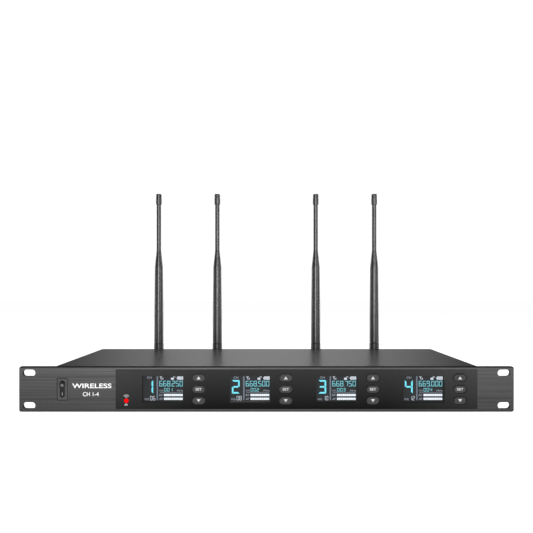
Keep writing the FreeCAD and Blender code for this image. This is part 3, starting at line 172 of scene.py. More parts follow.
def brushed_panel():
    """Dark anodised aluminium, brushed along its face, with a painted dark line of shade round
    the edges.

    The face has painted shade that makes it a little darker downwards, and its chamfers and sides
    are painted near black as painted shade.
    """
    made, nodes, links, shader = node_material("brushed_panel")
    fine = noise(nodes, links, (4, 1, 900), 1.0, 2.0, 0.6)
    broad = noise(nodes, links, (9, 1, 2600), 1.0, 4.0, 0.7)
    lines = nodes.new("ShaderNodeMath")
    lines.operation = "MULTIPLY_ADD"
    lines.inputs[1].default_value = 0.5
    links.new(fine, lines.inputs[0])
    links.new(span(nodes, links, broad, 0.0, 0.5), lines.inputs[2])
    shade = ramp(nodes, links, lines.outputs[0], [(0.36, grey(0.048)), (0.64, grey(0.112))])
    # Painted shade: the face is darker towards the bottom, with painted dark lines along its
    # lower and upper edges.
    rise = upright(nodes, links, panel_low.z, panel_high.z)
    painted_shade_by_height = ramp(nodes, links, rise, [(0.0, grey(0.15)), (0.018, grey(0.2)), (0.03, grey(0.62)),
                                     (0.965, grey(1.0)), (0.98, grey(0.3)), (1.0, grey(0.3))])
    face = tint(nodes, links, None, shade, painted_shade_by_height, "MULTIPLY")
    # Painted shade: faces turned away from the front, the chamfers and sides, get a near-black
    # colour and no metal, in place of the dark reflections they would catch.
    slanted, facing_front = -0.86, -0.96
    front = along_axis(nodes, links, "Y", slanted, facing_front, output="Normal")
    edge = ramp(nodes, links, fine, [(0.3, grey(0.005)), (0.7, grey(0.009))])
    links.new(tint(nodes, links, front, edge, face), shader.inputs["Base Color"])
    links.new(span(nodes, links, lines.outputs[0], 0.50, 0.40, 0.3, 0.7),
              shader.inputs["Roughness"])
    links.new(span(nodes, links, front, 0.0, 0.35), shader.inputs["Metallic"])
    shader.inputs["Specular IOR Level"].default_value = 0.12
    height_map(nodes, links, shader, lines.outputs[0], 0.2, 0.00003)
    return made


def gloss_fascia():
    """Black acrylic, with a painted reflection that makes it lighter towards its upper edge and
    its ends.
    """
    made, nodes, links, shader = node_material("gloss_black")
    low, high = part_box("display_fascia")
    height = upright(nodes, links, low.z, high.z)
    # Painted reflection: lighter towards the upper edge, darker towards the lower edge.
    painted_reflection_by_height = ramp(nodes, links, height, [(0.0, grey(0.002)), (1.0, grey(0.026))])
    across = along_axis(nodes, links, "X", low.x, high.x)
    # Painted reflection: lighter towards both ends.
    ends = ramp(nodes, links, across, [(0.0, grey(0.016)), (0.25, grey(0.0)),
                                       (0.75, grey(0.0)), (1.0, grey(0.016))])
    links.new(tint(nodes, links, None, painted_reflection_by_height, ends, "ADD"), shader.inputs["Base Color"])
    smear = noise(nodes, links, (1, 1, 1), 60.0)
    links.new(span(nodes, links, smear, 0.05, 0.11, 0.3, 0.7), shader.inputs["Roughness"])
    shader.inputs["Specular IOR Level"].default_value = 0.08
    return made


def display_screen():
    """A lit dark-grey liquid crystal cell under glass."""
    made, nodes, links, shader = node_material("display_screen")
    cells = noise(nodes, links, (1, 1, 1), 2500.0, 1.0)
    links.new(ramp(nodes, links, cells, [(0.3, (0.014, 0.015, 0.017)),
                                         (0.7, (0.019, 0.021, 0.024))]),
              shader.inputs["Base Color"])
    glow = noise(nodes, links, (1, 1, 1), 45.0, 1.0)
    links.new(ramp(nodes, links, glow, [(0.3, (0.92, 0.96, 1.0)), (0.7, (1.0, 1.0, 1.0))]),
              shader.inputs["Emission Color"])
    shader.inputs["Emission Strength"].default_value = 0.012
    shader.inputs["Roughness"].default_value = 0.18
    shader.inputs["Specular IOR Level"].default_value = 0.08
    return made


def glowing(name, colour, strength):
    """Segments of a display, a little uneven in brightness."""
    made, nodes, links, shader = node_material(name)
    uneven = noise(nodes, links, (1, 1, 1), 400.0, 1.0)
    dim = tuple(0.86 * part for part in colour)
    lit = ramp(nodes, links, uneven, [(0.3, dim), (0.7, colour)])
    links.new(lit, shader.inputs["Emission Color"])
    shader.inputs["Base Color"].default_value = (*[0.1 * part for part in colour], 1.0)
    shader.inputs["Emission Strength"].default_value = strength
    shader.inputs["Roughness"].default_value = 0.4
    shader.inputs["Specular IOR Level"].default_value = 0.1
    return made


def circuit_board():
    """Green solder mask over copper tracks."""
    made, nodes, links, shader = node_material("circuit_board")
    place = nodes.new("ShaderNodeTexCoord")
    tracks = nodes.new("ShaderNodeTexBrick")
    tracks.inputs["Scale"].default_value = 180.0
    tracks.inputs["Mortar Size"].default_value = 0.06
    tracks.inputs["Color1"].default_value = (0.012, 0.085, 0.035, 1.0)
    tracks.inputs["Color2"].default_value = (0.010, 0.070, 0.030, 1.0)
    tracks.inputs["Mortar"].default_value = (0.030, 0.160, 0.070, 1.0)
    links.new(place.outputs["Object"], tracks.inputs["Vector"])
    links.new(tracks.outputs["Color"], shader.inputs["Base Color"])
    links.new(span(nodes, links, noise(nodes, links, (1, 1, 1), 700.0), 0.25, 0.4),
              shader.inputs["Roughness"])
    height_map(nodes, links, shader, tracks.outputs["Fac"], 0.3, 0.00005)
    return made


def red_window():
    """A glowing red lens inside a dark rim."""
    made, nodes, links, shader = node_material("red_window")
    centre = middle_of("ir_window")
    clear_radius, rim_radius = 1.85 * MM, 2.15 * MM
    place = nodes.new("ShaderNodeTexCoord")
    away = nodes.new("ShaderNodeVectorMath")
    away.operation = "MULTIPLY_ADD"
    away.inputs[1].default_value = (1.0, 0.0, 1.0)
    away.inputs[2].default_value = (-centre.x, 0.0, -centre.z)
    links.new(place.outputs["Object"], away.inputs[0])
    length = nodes.new("ShaderNodeVectorMath")
    length.operation = "LENGTH"
    links.new(away.outputs["Vector"], length.inputs[0])
    rim = span(nodes, links, length.outputs["Value"], 0.0, 1.0, clear_radius, rim_radius)
    links.new(ramp(nodes, links, rim, [(0.0, (0.65, 0.0, 0.0)), (1.0, (0.02, 0.004, 0.004))]),
              shader.inputs["Base Color"])
    links.new(ramp(nodes, links, rim, [(0.0, (0.9, 0.0, 0.0)), (1.0, grey(0.0))]),
              shader.inputs["Emission Color"])
    shader.inputs["Emission Strength"].default_value = 1.0
    shader.inputs["Roughness"].default_value = 0.15
    shader.inputs["Specular IOR Level"].default_value = 0.05
    return made


MATERIALS = {
    "brushed_panel": brushed_panel(),
    "gloss_black": gloss_fascia(),
    "display_screen": display_screen(),
    "circuit_board": circuit_board(),
    "satin_paint": finish("satin_paint", grey(0.030), grey(0.036), (0.28, 0.34), 1500.0,
                          bump=0.1),
    "button_plastic": finish("button_plastic", grey(0.034), grey(0.044), (0.42, 0.5), 1200.0,
                             specular=0.2),
    "rocker_plastic": finish("rocker_plastic", grey(0.006), grey(0.009), (0.22, 0.30), 900.0,
                             specular=0.25),
    "switch_plastic": finish("switch_plastic", grey(0.060), grey(0.075), (0.4, 0.5), 900.0,
                             specular=0.2),
    "black_plastic": finish("black_plastic", grey(0.010), grey(0.016), (0.4, 0.55), 900.0),
    "whip_rubber": finish("whip_rubber", grey(0.022), grey(0.026), (0.29, 0.31), 3500.0,
                          specular=0.85, bump=0.004),
    "foot_rubber": finish("foot_rubber", grey(0.012), grey(0.02), (0.7, 0.85), 700.0, bump=0.4),
    "nickel_plate": finish("nickel_plate", (0.52, 0.50, 0.46), (0.62, 0.60, 0.56),
                           (0.22, 0.32), 700.0, metallic=1.0, bump=0.05),
    "contact_metal": finish("contact_metal", (0.66, 0.56, 0.34), (0.76, 0.66, 0.42),
                            (0.2, 0.3), 700.0, metallic=1.0, bump=0.05),
    "black_steel": finish("black_steel", grey(0.03), grey(0.05), (0.32, 0.45), 700.0,
                          metallic=0.8, bump=0.1),
    "tinplate": finish("tinplate", grey(0.55), grey(0.68), (0.25, 0.4), 120.0, metallic=1.0,
                       stretch=(1, 8, 1), bump=0.1),
    "white_plastic": finish("white_plastic", grey(0.7), grey(0.8), (0.4, 0.5)),
    "capacitor_sleeve": finish("capacitor_sleeve", (0.01, 0.015, 0.05), (0.014, 0.02, 0.065),
                               (0.3, 0.4), 300.0),
    "ribbon_plastic": finish("ribbon_plastic", grey(0.3), grey(0.42), (0.4, 0.5), 900.0,
                             stretch=(1, 0.02, 0.02)),
    "red_window": red_window(),
    "white_ink": finish("white_ink", grey(0.86), grey(0.93), (0.4, 0.5), 2000.0, bump=0.1),
    "button_ink": finish("button_ink", grey(0.52), grey(0.60), (0.4, 0.5), 2000.0, bump=0.1),
    "grey_ink": finish("grey_ink", grey(0.30), grey(0.36), (0.4, 0.5), 2000.0, bump=0.1),
    "cyan_light": glowing("cyan_light", (0.20, 0.86, 1.0), 0.95),
    "soft_light": glowing("soft_light", (0.21, 0.66, 0.74), 1.0),
    "white_light": glowing("white_light", (0.66, 0.72, 0.80), 0.95),
    "bright_light": glowing("bright_light", (0.86, 0.93, 1.0), 1.0),
    "label_light": glowing("label_light", (0.36, 0.40, 0.46), 0.95),
    "dim_light": glowing("dim_light", (0.17, 0.20, 0.25), 0.9),
}

NODE_FINISHES = {
    "front_panel": "brushed_panel",
    "display_fascia": "gloss_black",
    "ir_window": "red_window",
    "lcd_backlights": "white_plastic",
    "front_board": "circuit_board",
    "tact_switches": "black_plastic",
    "switch_housing": "switch_plastic",
    "chassis_tray": "satin_paint",
    "top_cover": "satin_paint",
    "rear_panel": "satin_paint",
    "rubber_feet": "foot_rubber",
    "main_board": "circuit_board",
    "rf_modules": "tinplate",
    "power_capacitors": "capacitor_sleeve",
    "ribbon_cable": "ribbon_plastic",
    "pan_head_screws": "black_steel",
    "xlr_shells": "nickel_plate",
    "xlr_inserts": "black_plastic",
    "xlr_pins": "contact_metal",
    "mix_jack": "black_plastic",
    "dc_inlet": "black_plastic",
    "connector_nuts": "nickel_plate",
    "antenna_jacks": "nickel_plate",
    "power_rocker": "rocker_plastic",
    "lcd_": "display_screen",
    "button_": "button_plastic",
    "antenna_collar_": "nickel_plate",
    "antenna_plug_": "black_plastic",
    "antenna_pin_": "contact_metal",
    "antenna_whip_": "whip_rubber",
    "antenna_tip_": "whip_rubber",
}


def finish_of(node):
    """The finish listed for a node, or for the family that its name starts with."""
    if node in NODE_FINISHES:
        return NODE_FINISHES[node]
    family = next(name for name in NODE_FINISHES if name.endswith("_") and node.startswith(name))
    return NODE_FINISHES[family]


for name, cad_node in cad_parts.items():
    cad_node.data.materials.clear()
    cad_node.data.materials.append(MATERIALS[finish_of(name)])


# ---------------------------------------------------------------- building pieces


def piece(name, shape, body, material):
    """Turn a bmesh into a piece that rides on a body."""
    bmesh.ops.recalc_face_normals(shape, faces=shape.faces)
    mesh = bpy.data.meshes.new(name)
    shape.to_mesh(mesh)
    shape.free()
    mesh.materials.append(MATERIALS[material])
    made = bpy.data.objects.new(name, mesh)
    bpy.context.scene.collection.objects.link(made)
    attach(made, body)
    return made


def add_prism(shape, outline, near, far):
    """A closed flat prism between two Y planes, from (x, z) corners."""
    front = [shape.verts.new((x, near, z)) for x, z in outline]
    rear = [shape.verts.new((x, far, z)) for x, z in outline]
    shape.faces.new(front)
    shape.faces.new(reversed(rear))
    for place, corner in enumerate(front):
        after = (place + 1) % len(front)
        shape.faces.new((corner, rear[place], rear[after], front[after]))


def bar(left, right, low, high):
    """The corners of an upright rectangle."""
    return [(left, low), (right, low), (right, high), (left, high)]


def arc_points(centre, radius, start, end, count):
    """Points on an arc in the XZ plane; angles in degrees from +X."""
    points = []
    for step in range(count + 1):
        angle = math.radians(start + (end - start) * step / count)
        points.append((centre[0] + radius * math.cos(angle),
                       centre[1] + radius * math.sin(angle)))
    return points


def arc_band(centre, inner, outer, start, end, count=10):
    """The outline of a curved band between two radii."""
    outside = arc_points(centre, outer, start, end, count)
    return outside + arc_points(centre, inner, end, start, count)


def add_words(shape, words, box, near, far, facing=1, bold=0.02):
    """Plain lettering fitted into (left, right, low, high), read from the front or the back."""
    curve = bpy.data.curves.new(words, "FONT")
    curve.body = words
    curve.offset = bold
    curve.extrude = 0.5
    curve.resolution_u = 4
    holder = bpy.data.objects.new(words, curve)
    bpy.context.scene.collection.objects.link(holder)
    bpy.context.view_layer.update()
    flat = bpy.data.meshes.new_from_object(holder)
    bpy.data.objects.remove(holder)
    bpy.data.curves.remove(curve)
    across = [vertex.co.x for vertex in flat.vertices]
    upward = [vertex.co.y for vertex in flat.vertices]
    left, right, low, high = box
    wide = (right - left) / (max(across) - min(across))
    tall = (high - low) / (max(upward) - min(upward))
    for vertex in flat.vertices:
        from_left = (vertex.co.x - min(across)) * wide
        x = left + from_left if facing > 0 else right - from_left
        z = low + (vertex.co.y - min(upward)) * tall
        y = near if vertex.co.z > 0 else far
        vertex.co = (x, y, z)
    shape.from_mesh(flat)
    bpy.data.meshes.remove(flat)


SEGMENTS = {
    "0": "abcdef", "1": "bc", "2": "abged", "3": "abgcd", "4": "fgbc",
    "5": "afgcd", "6": "afgedc", "7": "abc", "8": "abcdefg", "9": "abcdfg",
}


def digit(number, left, right, low, high, stroke):
    """The lit segments of one digit, mitred at its corners and a small gap apart."""
    gap = 0.12 * stroke
    middle = (low + high) / 2

    def rail(level, rise):
        return [(left + gap, level), (right - gap, level),
                (right - gap - stroke, level - rise * stroke),
                (left + gap + stroke, level - rise * stroke)]

    def post(outer, turn, end, rise):
        return [(outer, end - rise * gap), (outer, middle + rise * gap),
                (outer + turn * stroke / 2, middle + rise * gap),
                (outer + turn * stroke, middle + rise * (gap + stroke / 2)),
                (outer + turn * stroke, end - rise * (gap + stroke))]

    near, far = left + gap + stroke / 2, right - gap - stroke / 2
    waist = [(near, middle), (near + stroke / 2, middle + stroke / 2),
             (far - stroke / 2, middle + stroke / 2), (far, middle),
             (far - stroke / 2, middle - stroke / 2), (near + stroke / 2, middle - stroke / 2)]
    outlines = {
        "a": rail(high, 1), "d": rail(low, -1), "g": waist,
        "f": post(left, 1, high, 1), "b": post(right, -1, high, 1),
        "e": post(left, 1, low, -1), "c": post(right, -1, low, -1),
    }
    return [outlines[key] for key in SEGMENTS[number]]


def islands(mesh):
    """The corner places of each loose part of a mesh, once its split corners are joined."""
    shape = bmesh.new()
    shape.from_mesh(mesh)
    bmesh.ops.remove_doubles(shape, verts=shape.verts, dist=0.001 * MM)
    left = set(shape.verts)
    while left:
        reached = [left.pop()]
        found = []
        while reached:
            corner = reached.pop()
            found.append(corner.co.copy())
            for edge in corner.link_edges:
                other = edge.other_vert(corner)
                if other in left:
                    left.remove(other)
                    reached.append(other)
        yield found
    shape.free()


def corner_box(corners):
    """The low and high corners of the box round some points."""
    low = Vector([min(corner[axis] for corner in corners) for axis in range(3)])
    high = Vector([max(corner[axis] for corner in corners) for axis in range(3)])
    return low, high


# ---------------------------------------------------------------- displays


# Places on a display are in millimetres from its centre. The centre of the marks lies a little
# under the middle of the glass.
MARKS_DROP = 0.5 * MM
READOUT_LEFT = -4.1
READOUT_RIGHT = 19.3


class Screen:
    """Collects the marks of one display, one mesh for each light."""

    def __init__(self, channel):
        middle = middle_of(f"lcd_{channel}")
        self.channel = channel
        self.centre = (middle.x, middle.z - MARKS_DROP)
        self.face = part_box(f"lcd_{channel}")[0].y
        self.shapes = {}

    def shape(self, light):
        """The mesh being built for a light."""
        return self.shapes.setdefault(light, bmesh.new())

    def mark(self, light, outline):
        """Add a flat outline."""
        placed = [(self.centre[0] + x * MM, self.centre[1] + z * MM) for x, z in outline]
        add_prism(self.shape(light), placed, self.face - INK, self.face)

    def words(self, light, text, left, right, low, high):
        """Add lettering fitted into a rectangle."""
        across, up = self.centre
        box = (across + left * MM, across + right * MM, up + low * MM, up + high * MM)
        add_words(self.shape(light), text, box, self.face - INK, self.face, bold=0.0)

    def finish(self):
        """Turn each light's marks into a piece."""
        for light, shape in self.shapes.items():
            name = f"display_{self.channel}_{light}"
            piece(name, shape, "root", light)


def segment_row(screen, light, text, left, low, high, pitch, width, stroke, stop=0.0):
    """Digits side by side; a full stop sits in the gap after its digit, made wider by stop."""
    place = left
    for sign in text:
        if sign == ".":
            place += stop
            centre = place - (pitch - width + stop) / 2
            screen.mark(light, bar(centre - stroke / 2, centre + stroke / 2, low, low + stroke))
            continue
        for outline in digit(sign, place, place + width, low, high, stroke):
            screen.mark(light, outline)
        place += pitch


def padlock(screen, left, low):
    """An open padlock: its body, and a shackle swung out to the right."""
    screen.mark("white_light", bar(left, left + 2.8, low, low + 2.0))
    screen.mark("white_light", arc_band((left + 3.1, low + 2.1), 0.7, 1.15, 0, 180))
    screen.mark("white_light", bar(left + 1.95, left + 2.4, low + 1.8, low + 2.2))


def battery(screen, left, right, low, high):
    """A full battery: a nose, an outline and four cells."""
    line = 0.3
    nose = 0.7
    shell = left + nose
    for outline in (
        bar(shell, right, high - line, high),
        bar(shell, right, low, low + line),
        bar(shell, shell + line, low, high),
        bar(right - line, right, low, high),
        bar(left, shell, low + 1.0, high - 1.0),
    ):
        screen.mark("white_light", outline)
    cells = 4
    pitch = (right - shell - 2 * line) / cells
    for step in range(cells):
        start = shell + line + step * pitch
        screen.mark("white_light", bar(start + 0.12, start + pitch - 0.06, low + line + 0.12,
                                       high - line - 0.12))


def aerial(screen, left, low):
    """A mast with two arms, and two rising bars beside it."""
    middle = left + 1.3
    screen.mark("white_light", bar(middle - 0.2, middle + 0.2, low, low + 3.0))
    for side in (-1, 1):
        screen.mark("white_light", [
            (middle, low + 1.2), (middle + side * 1.3, low + 3.0),
            (middle + side * 0.8, low + 3.0), (middle, low + 1.9),
        ])
    for step, height in enumerate((0.8, 1.6)):
        start = left + 2.0 + 0.9 * step
        screen.mark("white_light", bar(start, start + 0.6, low, low + height))


def level_bars(screen, left, right, low, high, count):
    """A full level meter of equal blocks."""
    pitch = (right - left) / count
    for step in range(count):
        start = left + step * pitch
        screen.mark("bright_light", bar(start, start + 0.93 * pitch, low, high))


DISPLAYS = {
    1: ("668.250", "001", "06"),
    2: ("668.500", "002", "08"),
    3: ("668.750", "003", "10"),
    4: ("669.000", "004", "12"),
}


def draw_display(channel):
    """Channel and volume at the left; status, frequency, preset and levels at the right."""
    frequency, preset, volume = DISPLAYS[channel]
    screen = Screen(channel)
    screen.words("label_light", "CH", left=-16.1, right=-11.6, low=10.2, high=12.3)
    for outline in digit(str(channel), left=-17.8, right=-10.1, low=-4.5, high=8.8, stroke=1.6):
        screen.mark("cyan_light", outline)
    screen.words("label_light", "VOL", left=-18.7, right=-13.8, low=-10.9, high=-9.0)
    segment_row(screen, "white_light", volume, left=-13.1, low=-11.0, high=-6.9,
                pitch=2.7, width=2.2, stroke=0.38)
    screen.mark("dim_light", bar(left=-6.75, right=-5.35, low=-10.8, high=12.6))
    aerial(screen, left=-3.8, low=9.4)
    padlock(screen, left=7.4, low=9.1)
    battery(screen, left=13.0, right=READOUT_RIGHT, low=9.0, high=12.4)
    segment_row(screen, "soft_light", frequency, left=READOUT_LEFT, low=2.6, high=8.0,
                pitch=3.84, width=3.05, stroke=0.56, stop=0.7)
    screen.words("label_light", "CH", left=READOUT_LEFT, right=-0.5, low=-2.3, high=-0.7)
    segment_row(screen, "soft_light", preset, left=0.6, low=-2.4, high=0.9,
                pitch=2.95, width=2.3, stroke=0.42)
    screen.words("label_light", "MHz", left=13.3, right=19.1, low=-2.4, high=-0.8)
    screen.mark("dim_light", bar(left=-3.6, right=18.9, low=-3.65, high=-3.05))
    for label, low in (("RF", -7.3), ("AF", -11.0)):
        screen.words("label_light", label, left=READOUT_LEFT, right=-0.7, low=low + 0.35,
                     high=low + 2.4)
        level_bars(screen, left=0.45, right=19.0, low=low + 0.3, high=low + 2.5, count=10)
    screen.finish()


for channel in CHANNELS:
    draw_display(channel)


# ---------------------------------------------------------------- printed marks


def button_marks():
    """A pale arrow or word printed on each cap."""
    word_half, letter_half = 3.1 * MM, 1.25 * MM
    arrow_half, arrow_rise = 1.9 * MM, 1.45 * MM
    for channel in CHANNELS:
        for row in ROWS:
            button = f"button_{row}_{channel}"
            x, _, z = middle_of(button)
            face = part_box(button)[0].y
            shape = bmesh.new()
            if row == "set":
                box = (x - word_half, x + word_half, z - letter_half, z + letter_half)
                add_words(shape, "SET", box, face - INK, face)
            else:
                tip = arrow_rise if row == "up" else -arrow_rise
                corners = [(x - arrow_half, z - tip), (x + arrow_half, z - tip), (x, z + tip)]
                add_prism(shape, corners, face - INK, face)
            piece(f"button_mark_{row}_{channel}", shape, button, "button_ink")


def panel_lettering():
    """Generic words beside the power switch."""
    shape = bmesh.new()
    title = (-189.5 * MM, -151 * MM, PANEL_MIDDLE + 1.0 * MM, PANEL_MIDDLE + 5.6 * MM)
    subtitle = (-179 * MM, -163.5 * MM, PANEL_MIDDLE - 6.8 * MM, PANEL_MIDDLE - 2.8 * MM)
    add_words(shape, "WIRELESS", title, FRONT - INK, FRONT)
    add_words(shape, "CH 1-4", subtitle, FRONT - INK, FRONT, bold=0.01)
    piece("panel_lettering", shape, "root", "white_ink")


def infrared_marks():
    """Spreading arcs above the window and two letters below it."""
    x, _, z = middle_of("ir_window")
    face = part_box("display_fascia")[0].y
    arcs = bmesh.new()
    source = (x, z + 2.4 * MM)
    half_spread = 52
    radii = ((0.3, 0.9), (1.45, 2.2), (2.75, 3.6))
    for inner, outer in radii:
        band = arc_band(source, inner * MM, outer * MM, 90 - half_spread, 90 + half_spread)
        add_prism(arcs, band, face - INK, face)
    piece("infrared_arcs", arcs, "root", "grey_ink")
    letters = bmesh.new()
    under = (x - 1.5 * MM, x + 1.5 * MM, z - 4.8 * MM, z - 2.95 * MM)
    add_words(letters, "IR", under, face - INK, face)
    piece("infrared_letters", letters, "root", "button_ink")


def rocker_marks():
    """The line on the rocker's flat half and the ring on its raised half."""
    x = middle_of("power_rocker").x
    throw = math.radians(16)
    face = FRONT + 0.4 * MM
    half_line, line_low, line_high = 0.25 * MM, -6.2 * MM, -3.2 * MM
    ring_rise, ring_inner, ring_outer = 4.0 * MM, 0.75 * MM, 1.2 * MM
    line = bmesh.new()
    line_corners = bar(x - half_line, x + half_line, PANEL_MIDDLE + line_low,
                       PANEL_MIDDLE + line_high)
    add_prism(line, line_corners, face - INK, face)
    piece("rocker_line", line, "power_rocker", "grey_ink")
    ring = bmesh.new()
    centre = (x, PANEL_MIDDLE + ring_rise)
    for start in (0, 180):
        half_ring = arc_band(centre, ring_inner, ring_outer, start, start + 180)
        add_prism(ring, half_ring, face - INK, face)
    hinge = Vector((x, face, PANEL_MIDDLE))
    bmesh.ops.rotate(ring, verts=ring.verts, cent=hinge,
                     matrix=Matrix.Rotation(throw, 3, "X"))
    piece("rocker_ring", ring, "power_rocker", "grey_ink")


def rear_marks():
    """Plain words over the rear connectors and a number beside each antenna jack."""
    face, printed = BACK, BACK + INK
    shape = bmesh.new()

    def words(text, x, half, low, high):
        """Lettering round x, in millimetres of half width and of height."""
        box = (x - half * MM, x + half * MM, low * MM, high * MM)
        add_words(shape, text, box, printed, face, facing=-1, bold=0.01)

    shells = islands(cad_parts["xlr_shells"].data)
    outputs = sorted((low.x + high.x) / 2 for low, high in map(corner_box, shells))
    for channel, x in zip(CHANNELS, outputs):
        words(f"OUTPUT {channel}", x, half=7.0, low=41.0, high=43.2)
    for number in ANTENNAS:
        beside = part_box(f"antenna_collar_{number}")[1].x + 4.5 * MM
        words(str(number), beside, half=1.0, low=33.0, high=36.4)
    words("MIX", middle_of("mix_jack").x, half=3.6, low=34.4, high=36.8)
    words("DC IN", middle_of("dc_inlet").x, half=4.6, low=31.6, high=33.8)
    piece("rear_marks", shape, "root", "white_ink")


# ---------------------------------------------------------------- screws


def turned(profile, count):
    """A closed bmesh turned about Z from (radius, height) points, both ends on the axis."""
    shape = bmesh.new()
    rings = []
    for radius, height in profile[1:-1]:
        ring = []
        for step in range(count):
            angle = 2 * math.pi * step / count
            ring.append(shape.verts.new((radius * math.cos(angle), radius * math.sin(angle),
                                         height)))
        rings.append(ring)
    first = shape.verts.new((0, 0, profile[0][1]))
    last = shape.verts.new((0, 0, profile[-1][1]))
    for step in range(count):
        after = (step + 1) % count
        shape.faces.new((first, rings[0][after], rings[0][step]))
        shape.faces.new((last, rings[-1][step], rings[-1][after]))
        for lower, upper in zip(rings, rings[1:]):
            shape.faces.new((lower[step], lower[after], upper[after], upper[step]))
    bmesh.ops.recalc_face_normals(shape, faces=shape.faces)
    return shape


def into_mesh(shape, name):
    """A mesh from a bmesh, which is used up."""
    mesh = bpy.data.meshes.new(name)
    shape.to_mesh(mesh)
    shape.free()
    return mesh


def pan_head(radius, height, shank, length):
    """A screw along Z: a domed head on Z 0, a tapered cross recess in it, and its shank below."""
    rim = 0.4 * height
    angles = [math.radians(degrees) for degrees in range(0, 90, 15)]
    dome = [(radius * math.cos(angle), rim + (height - rim) * math.sin(angle))
            for angle in angles]
    profile = [(0, -length), (shank, -length), (shank, 0), (radius, 0), *dome, (0, height)]
    body = bpy.data.objects.new("screw_body", into_mesh(turned(profile, 32), "screw_body"))
    cross = bmesh.new()
    reach, narrow = 0.58 * radius, 0.15 * radius
    above, floor_level, floor_share = height + 0.2 * MM, 0.25 * height, 0.55
    for half_x, half_y in ((reach, narrow), (narrow, reach)):
        for corner in bmesh.ops.create_cube(cross, size=2.0)["verts"]:
            upper = corner.co.z > 0
            taper = 1.0 if upper else floor_share
            corner.co.x *= half_x * taper
            corner.co.y *= half_y * taper
            corner.co.z = above if upper else floor_level
    driver = bpy.data.objects.new("screw_cross", into_mesh(cross, "screw_cross"))
    for made in (body, driver):
        bpy.context.scene.collection.objects.link(made)
    recess = body.modifiers.new("recess", "BOOLEAN")
    recess.operation = "DIFFERENCE"
    recess.object = driver
    recess.solver = "EXACT"
    recess.use_self = True
    bpy.context.view_layer.update()
    carved = bpy.data.meshes.new_from_object(
        body.evaluated_get(bpy.context.evaluated_depsgraph_get()))
    bpy.data.objects.remove(body)
    bpy.data.objects.remove(driver)
    return carved


def end_radius(corners, middle, axis, level):
    """How far a screw's corners at one level along its axis reach from that axis."""
    return max(corner[axis - 1] - middle[axis - 1] for corner in corners
               if abs(corner[axis] - level) < 0.01 * MM)


def case_screws():
    """Screws with crossed recesses in place of the CAD node's plain ones.

    Each plain screw is one loose part. Its two sizes across its axis are equal, and its wider
    end is the head.
    """
    head = 1.6 * MM
    shape = bmesh.new()
    made_kinds = {}
    for corners in islands(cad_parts["pan_head_screws"].data):
        low, high = corner_box(corners)
        size, middle = high - low, (low + high) / 2
        along = min(range(3), key=lambda axis: abs(size[axis - 1] - size[axis - 2]))
        high_end = end_radius(corners, middle, along, high[along])
        low_end = end_radius(corners, middle, along, low[along])
        outward = 1 if high_end > low_end else -1
        radius, shank = size[along - 1] / 2, min(high_end, low_end)
        length = size[along] - head
        kind = (round(radius, 5), round(shank, 5), round(length, 5))
        if kind not in made_kinds:
            made_kinds[kind] = pan_head(radius, head, shank, length)
        screw = made_kinds[kind].copy()
        axis = Vector([outward if place == along else 0.0 for place in range(3)])
        seat = middle.copy()
        seat[along] = (high if outward > 0 else low)[along] - outward * head
        turn = axis.to_track_quat("Z", "Y").to_matrix().to_4x4()
        screw.transform(Matrix.Translation(seat) @ turn)
        shape.from_mesh(screw)
        bpy.data.meshes.remove(screw)
    for mesh in made_kinds.values():
        bpy.data.meshes.remove(mesh)
    made = piece("case_screws", shape, "root", "black_steel")
    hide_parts("pan_head_screws")


button_marks()
panel_lettering()
infrared_marks()
rocker_marks()
rear_marks()
case_screws()


# ---------------------------------------------------------------- room, lights and camera


def floor():
    """Seamless white paper that keeps only a faint shadow."""
    shape = bmesh.new()
    reach = 6.0
    corners = [(-reach, -reach), (reach, -reach), (reach, reach), (-reach, reach)]
    shape.faces.new([shape.verts.new((x, y, 0.0)) for x, y in corners])
    mesh = bpy.data.meshes.new("floor")
    shape.to_mesh(mesh)
    shape.free()
    made = bpy.data.objects.new("floor", mesh)
    bpy.context.scene.collection.objects.link(made)
    paper, nodes, links, shader = node_material("paper")
    grain = noise(nodes, links, (1, 1, 1), 3.0)
    links.new(ramp(nodes, links, grain, [(0.3, grey(0.86)), (0.7, grey(0.88))]),
              shader.inputs["Base Color"])
    shader.inputs["Emission Color"].default_value = (1.0, 1.0, 1.0, 1.0)
    shader.inputs["Emission Strength"].default_value = 0.95
    shader.inputs["Roughness"].default_value = 0.9
    shader.inputs["Specular IOR Level"].default_value = 0.0
    mesh.materials.append(paper)


def softbox(name, place, target, width, height, power):
    """A soft rectangular light aimed at a point, itself hidden from the camera."""
    light = bpy.data.lights.new(name, "AREA")
    light.shape = "RECTANGLE"
    light.size = width
    light.size_y = height
    light.energy = power
    lamp = bpy.data.objects.new(name, light)
    lamp.location = place
    lamp.visible_camera = False
    aim = Vector(target) - Vector(place)
    lamp.rotation_euler = aim.to_track_quat("-Z", "Y").to_euler()
    bpy.context.scene.collection.objects.link(lamp)
    return lamp


def spare_cover(lamp):
    """Keep a lamp's glare off the top cover."""
    receivers = bpy.data.collections.new(f"{lamp.name}_receivers")
    receivers.objects.link(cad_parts["top_cover"])
    receivers.collection_objects[0].light_linking.link_state = "EXCLUDE"
    lamp.light_linking.receiver_collection = receivers


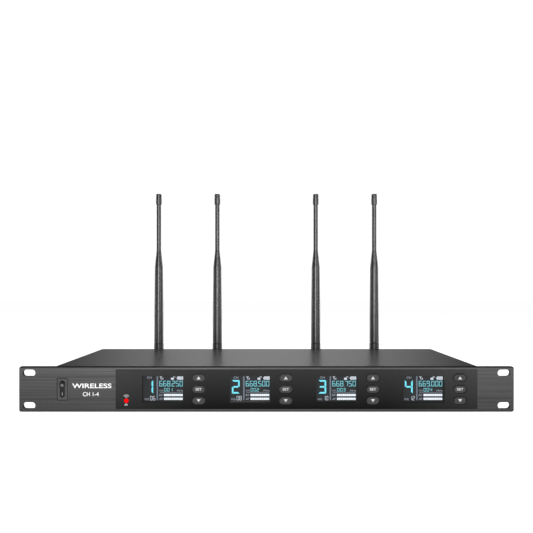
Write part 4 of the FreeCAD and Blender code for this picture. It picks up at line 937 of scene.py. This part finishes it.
def room():
    """White all round for the camera; dim for the object, with a soft glow low behind it."""
    world = bpy.data.worlds.new("studio")
    world.use_nodes = True
    nodes, links = world.node_tree.nodes, world.node_tree.links
    surround = nodes["Background"]
    surround.inputs["Color"].default_value = (1.0, 1.0, 1.0, 1.0)
    sky = nodes.new("ShaderNodeTexCoord")
    towards = nodes.new("ShaderNodeVectorMath")
    towards.operation = "DOT_PRODUCT"
    low_behind = (0.0, 0.99, 0.14)
    towards.inputs[1].default_value = low_behind
    links.new(sky.outputs["Generated"], towards.inputs[0])
    glow = span(nodes, links, towards.outputs["Value"], low=0.04, high=0.70, start=0.955,
                end=1.0)
    links.new(glow, surround.inputs["Strength"])
    backdrop = nodes.new("ShaderNodeBackground")
    backdrop.inputs["Color"].default_value = (1.0, 1.0, 1.0, 1.0)
    backdrop.inputs["Strength"].default_value = 1.05
    seen = nodes.new("ShaderNodeLightPath")
    choice = nodes.new("ShaderNodeMixShader")
    links.new(seen.outputs["Is Camera Ray"], choice.inputs["Fac"])
    links.new(surround.outputs["Background"], choice.inputs[1])
    links.new(backdrop.outputs["Background"], choice.inputs[2])
    links.new(choice.outputs["Shader"], nodes["World Output"].inputs["Surface"])
    bpy.context.scene.world = world
    key = softbox("key", place=(-0.1, -1.4, 0.32), target=(0, 0, 0.2),
                  width=0.2, height=0.55, power=10)
    spare_cover(key)
    softbox("fill", place=(0.75, -0.7, 0.3), target=(0.22, FRONT, 0.03),
            width=0.3, height=0.3, power=2.0)
    softbox("rear", place=(0, 1.1, 0.9), target=(0, BACK, 0.03),
            width=0.9, height=0.3, power=3)
    for side in (-1, 1):
        softbox("rim", place=(side * 1.3, 0.9, 0.35), target=(0, 0, 0.1),
                width=0.35, height=0.9, power=5)


def camera():
    """Level, in front of the panel's middle, and shifted to take in the antennas."""
    distance, rise = 0.6883, 0.1206
    lens = bpy.data.cameras.new("camera")
    lens.sensor_width = 36.0
    lens.lens = 47.7
    lens.shift_y = 0.0406
    lens.clip_start = 0.01
    holder = bpy.data.objects.new("camera", lens)
    holder.location = (0.0, FRONT - distance, panel_low.z + rise)
    holder.rotation_euler = (math.radians(90), 0, 0)
    bpy.context.scene.collection.objects.link(holder)
    bpy.context.scene.camera = holder


floor()
room()
camera()
bpy.context.scene.view_settings.view_transform = "Standard"
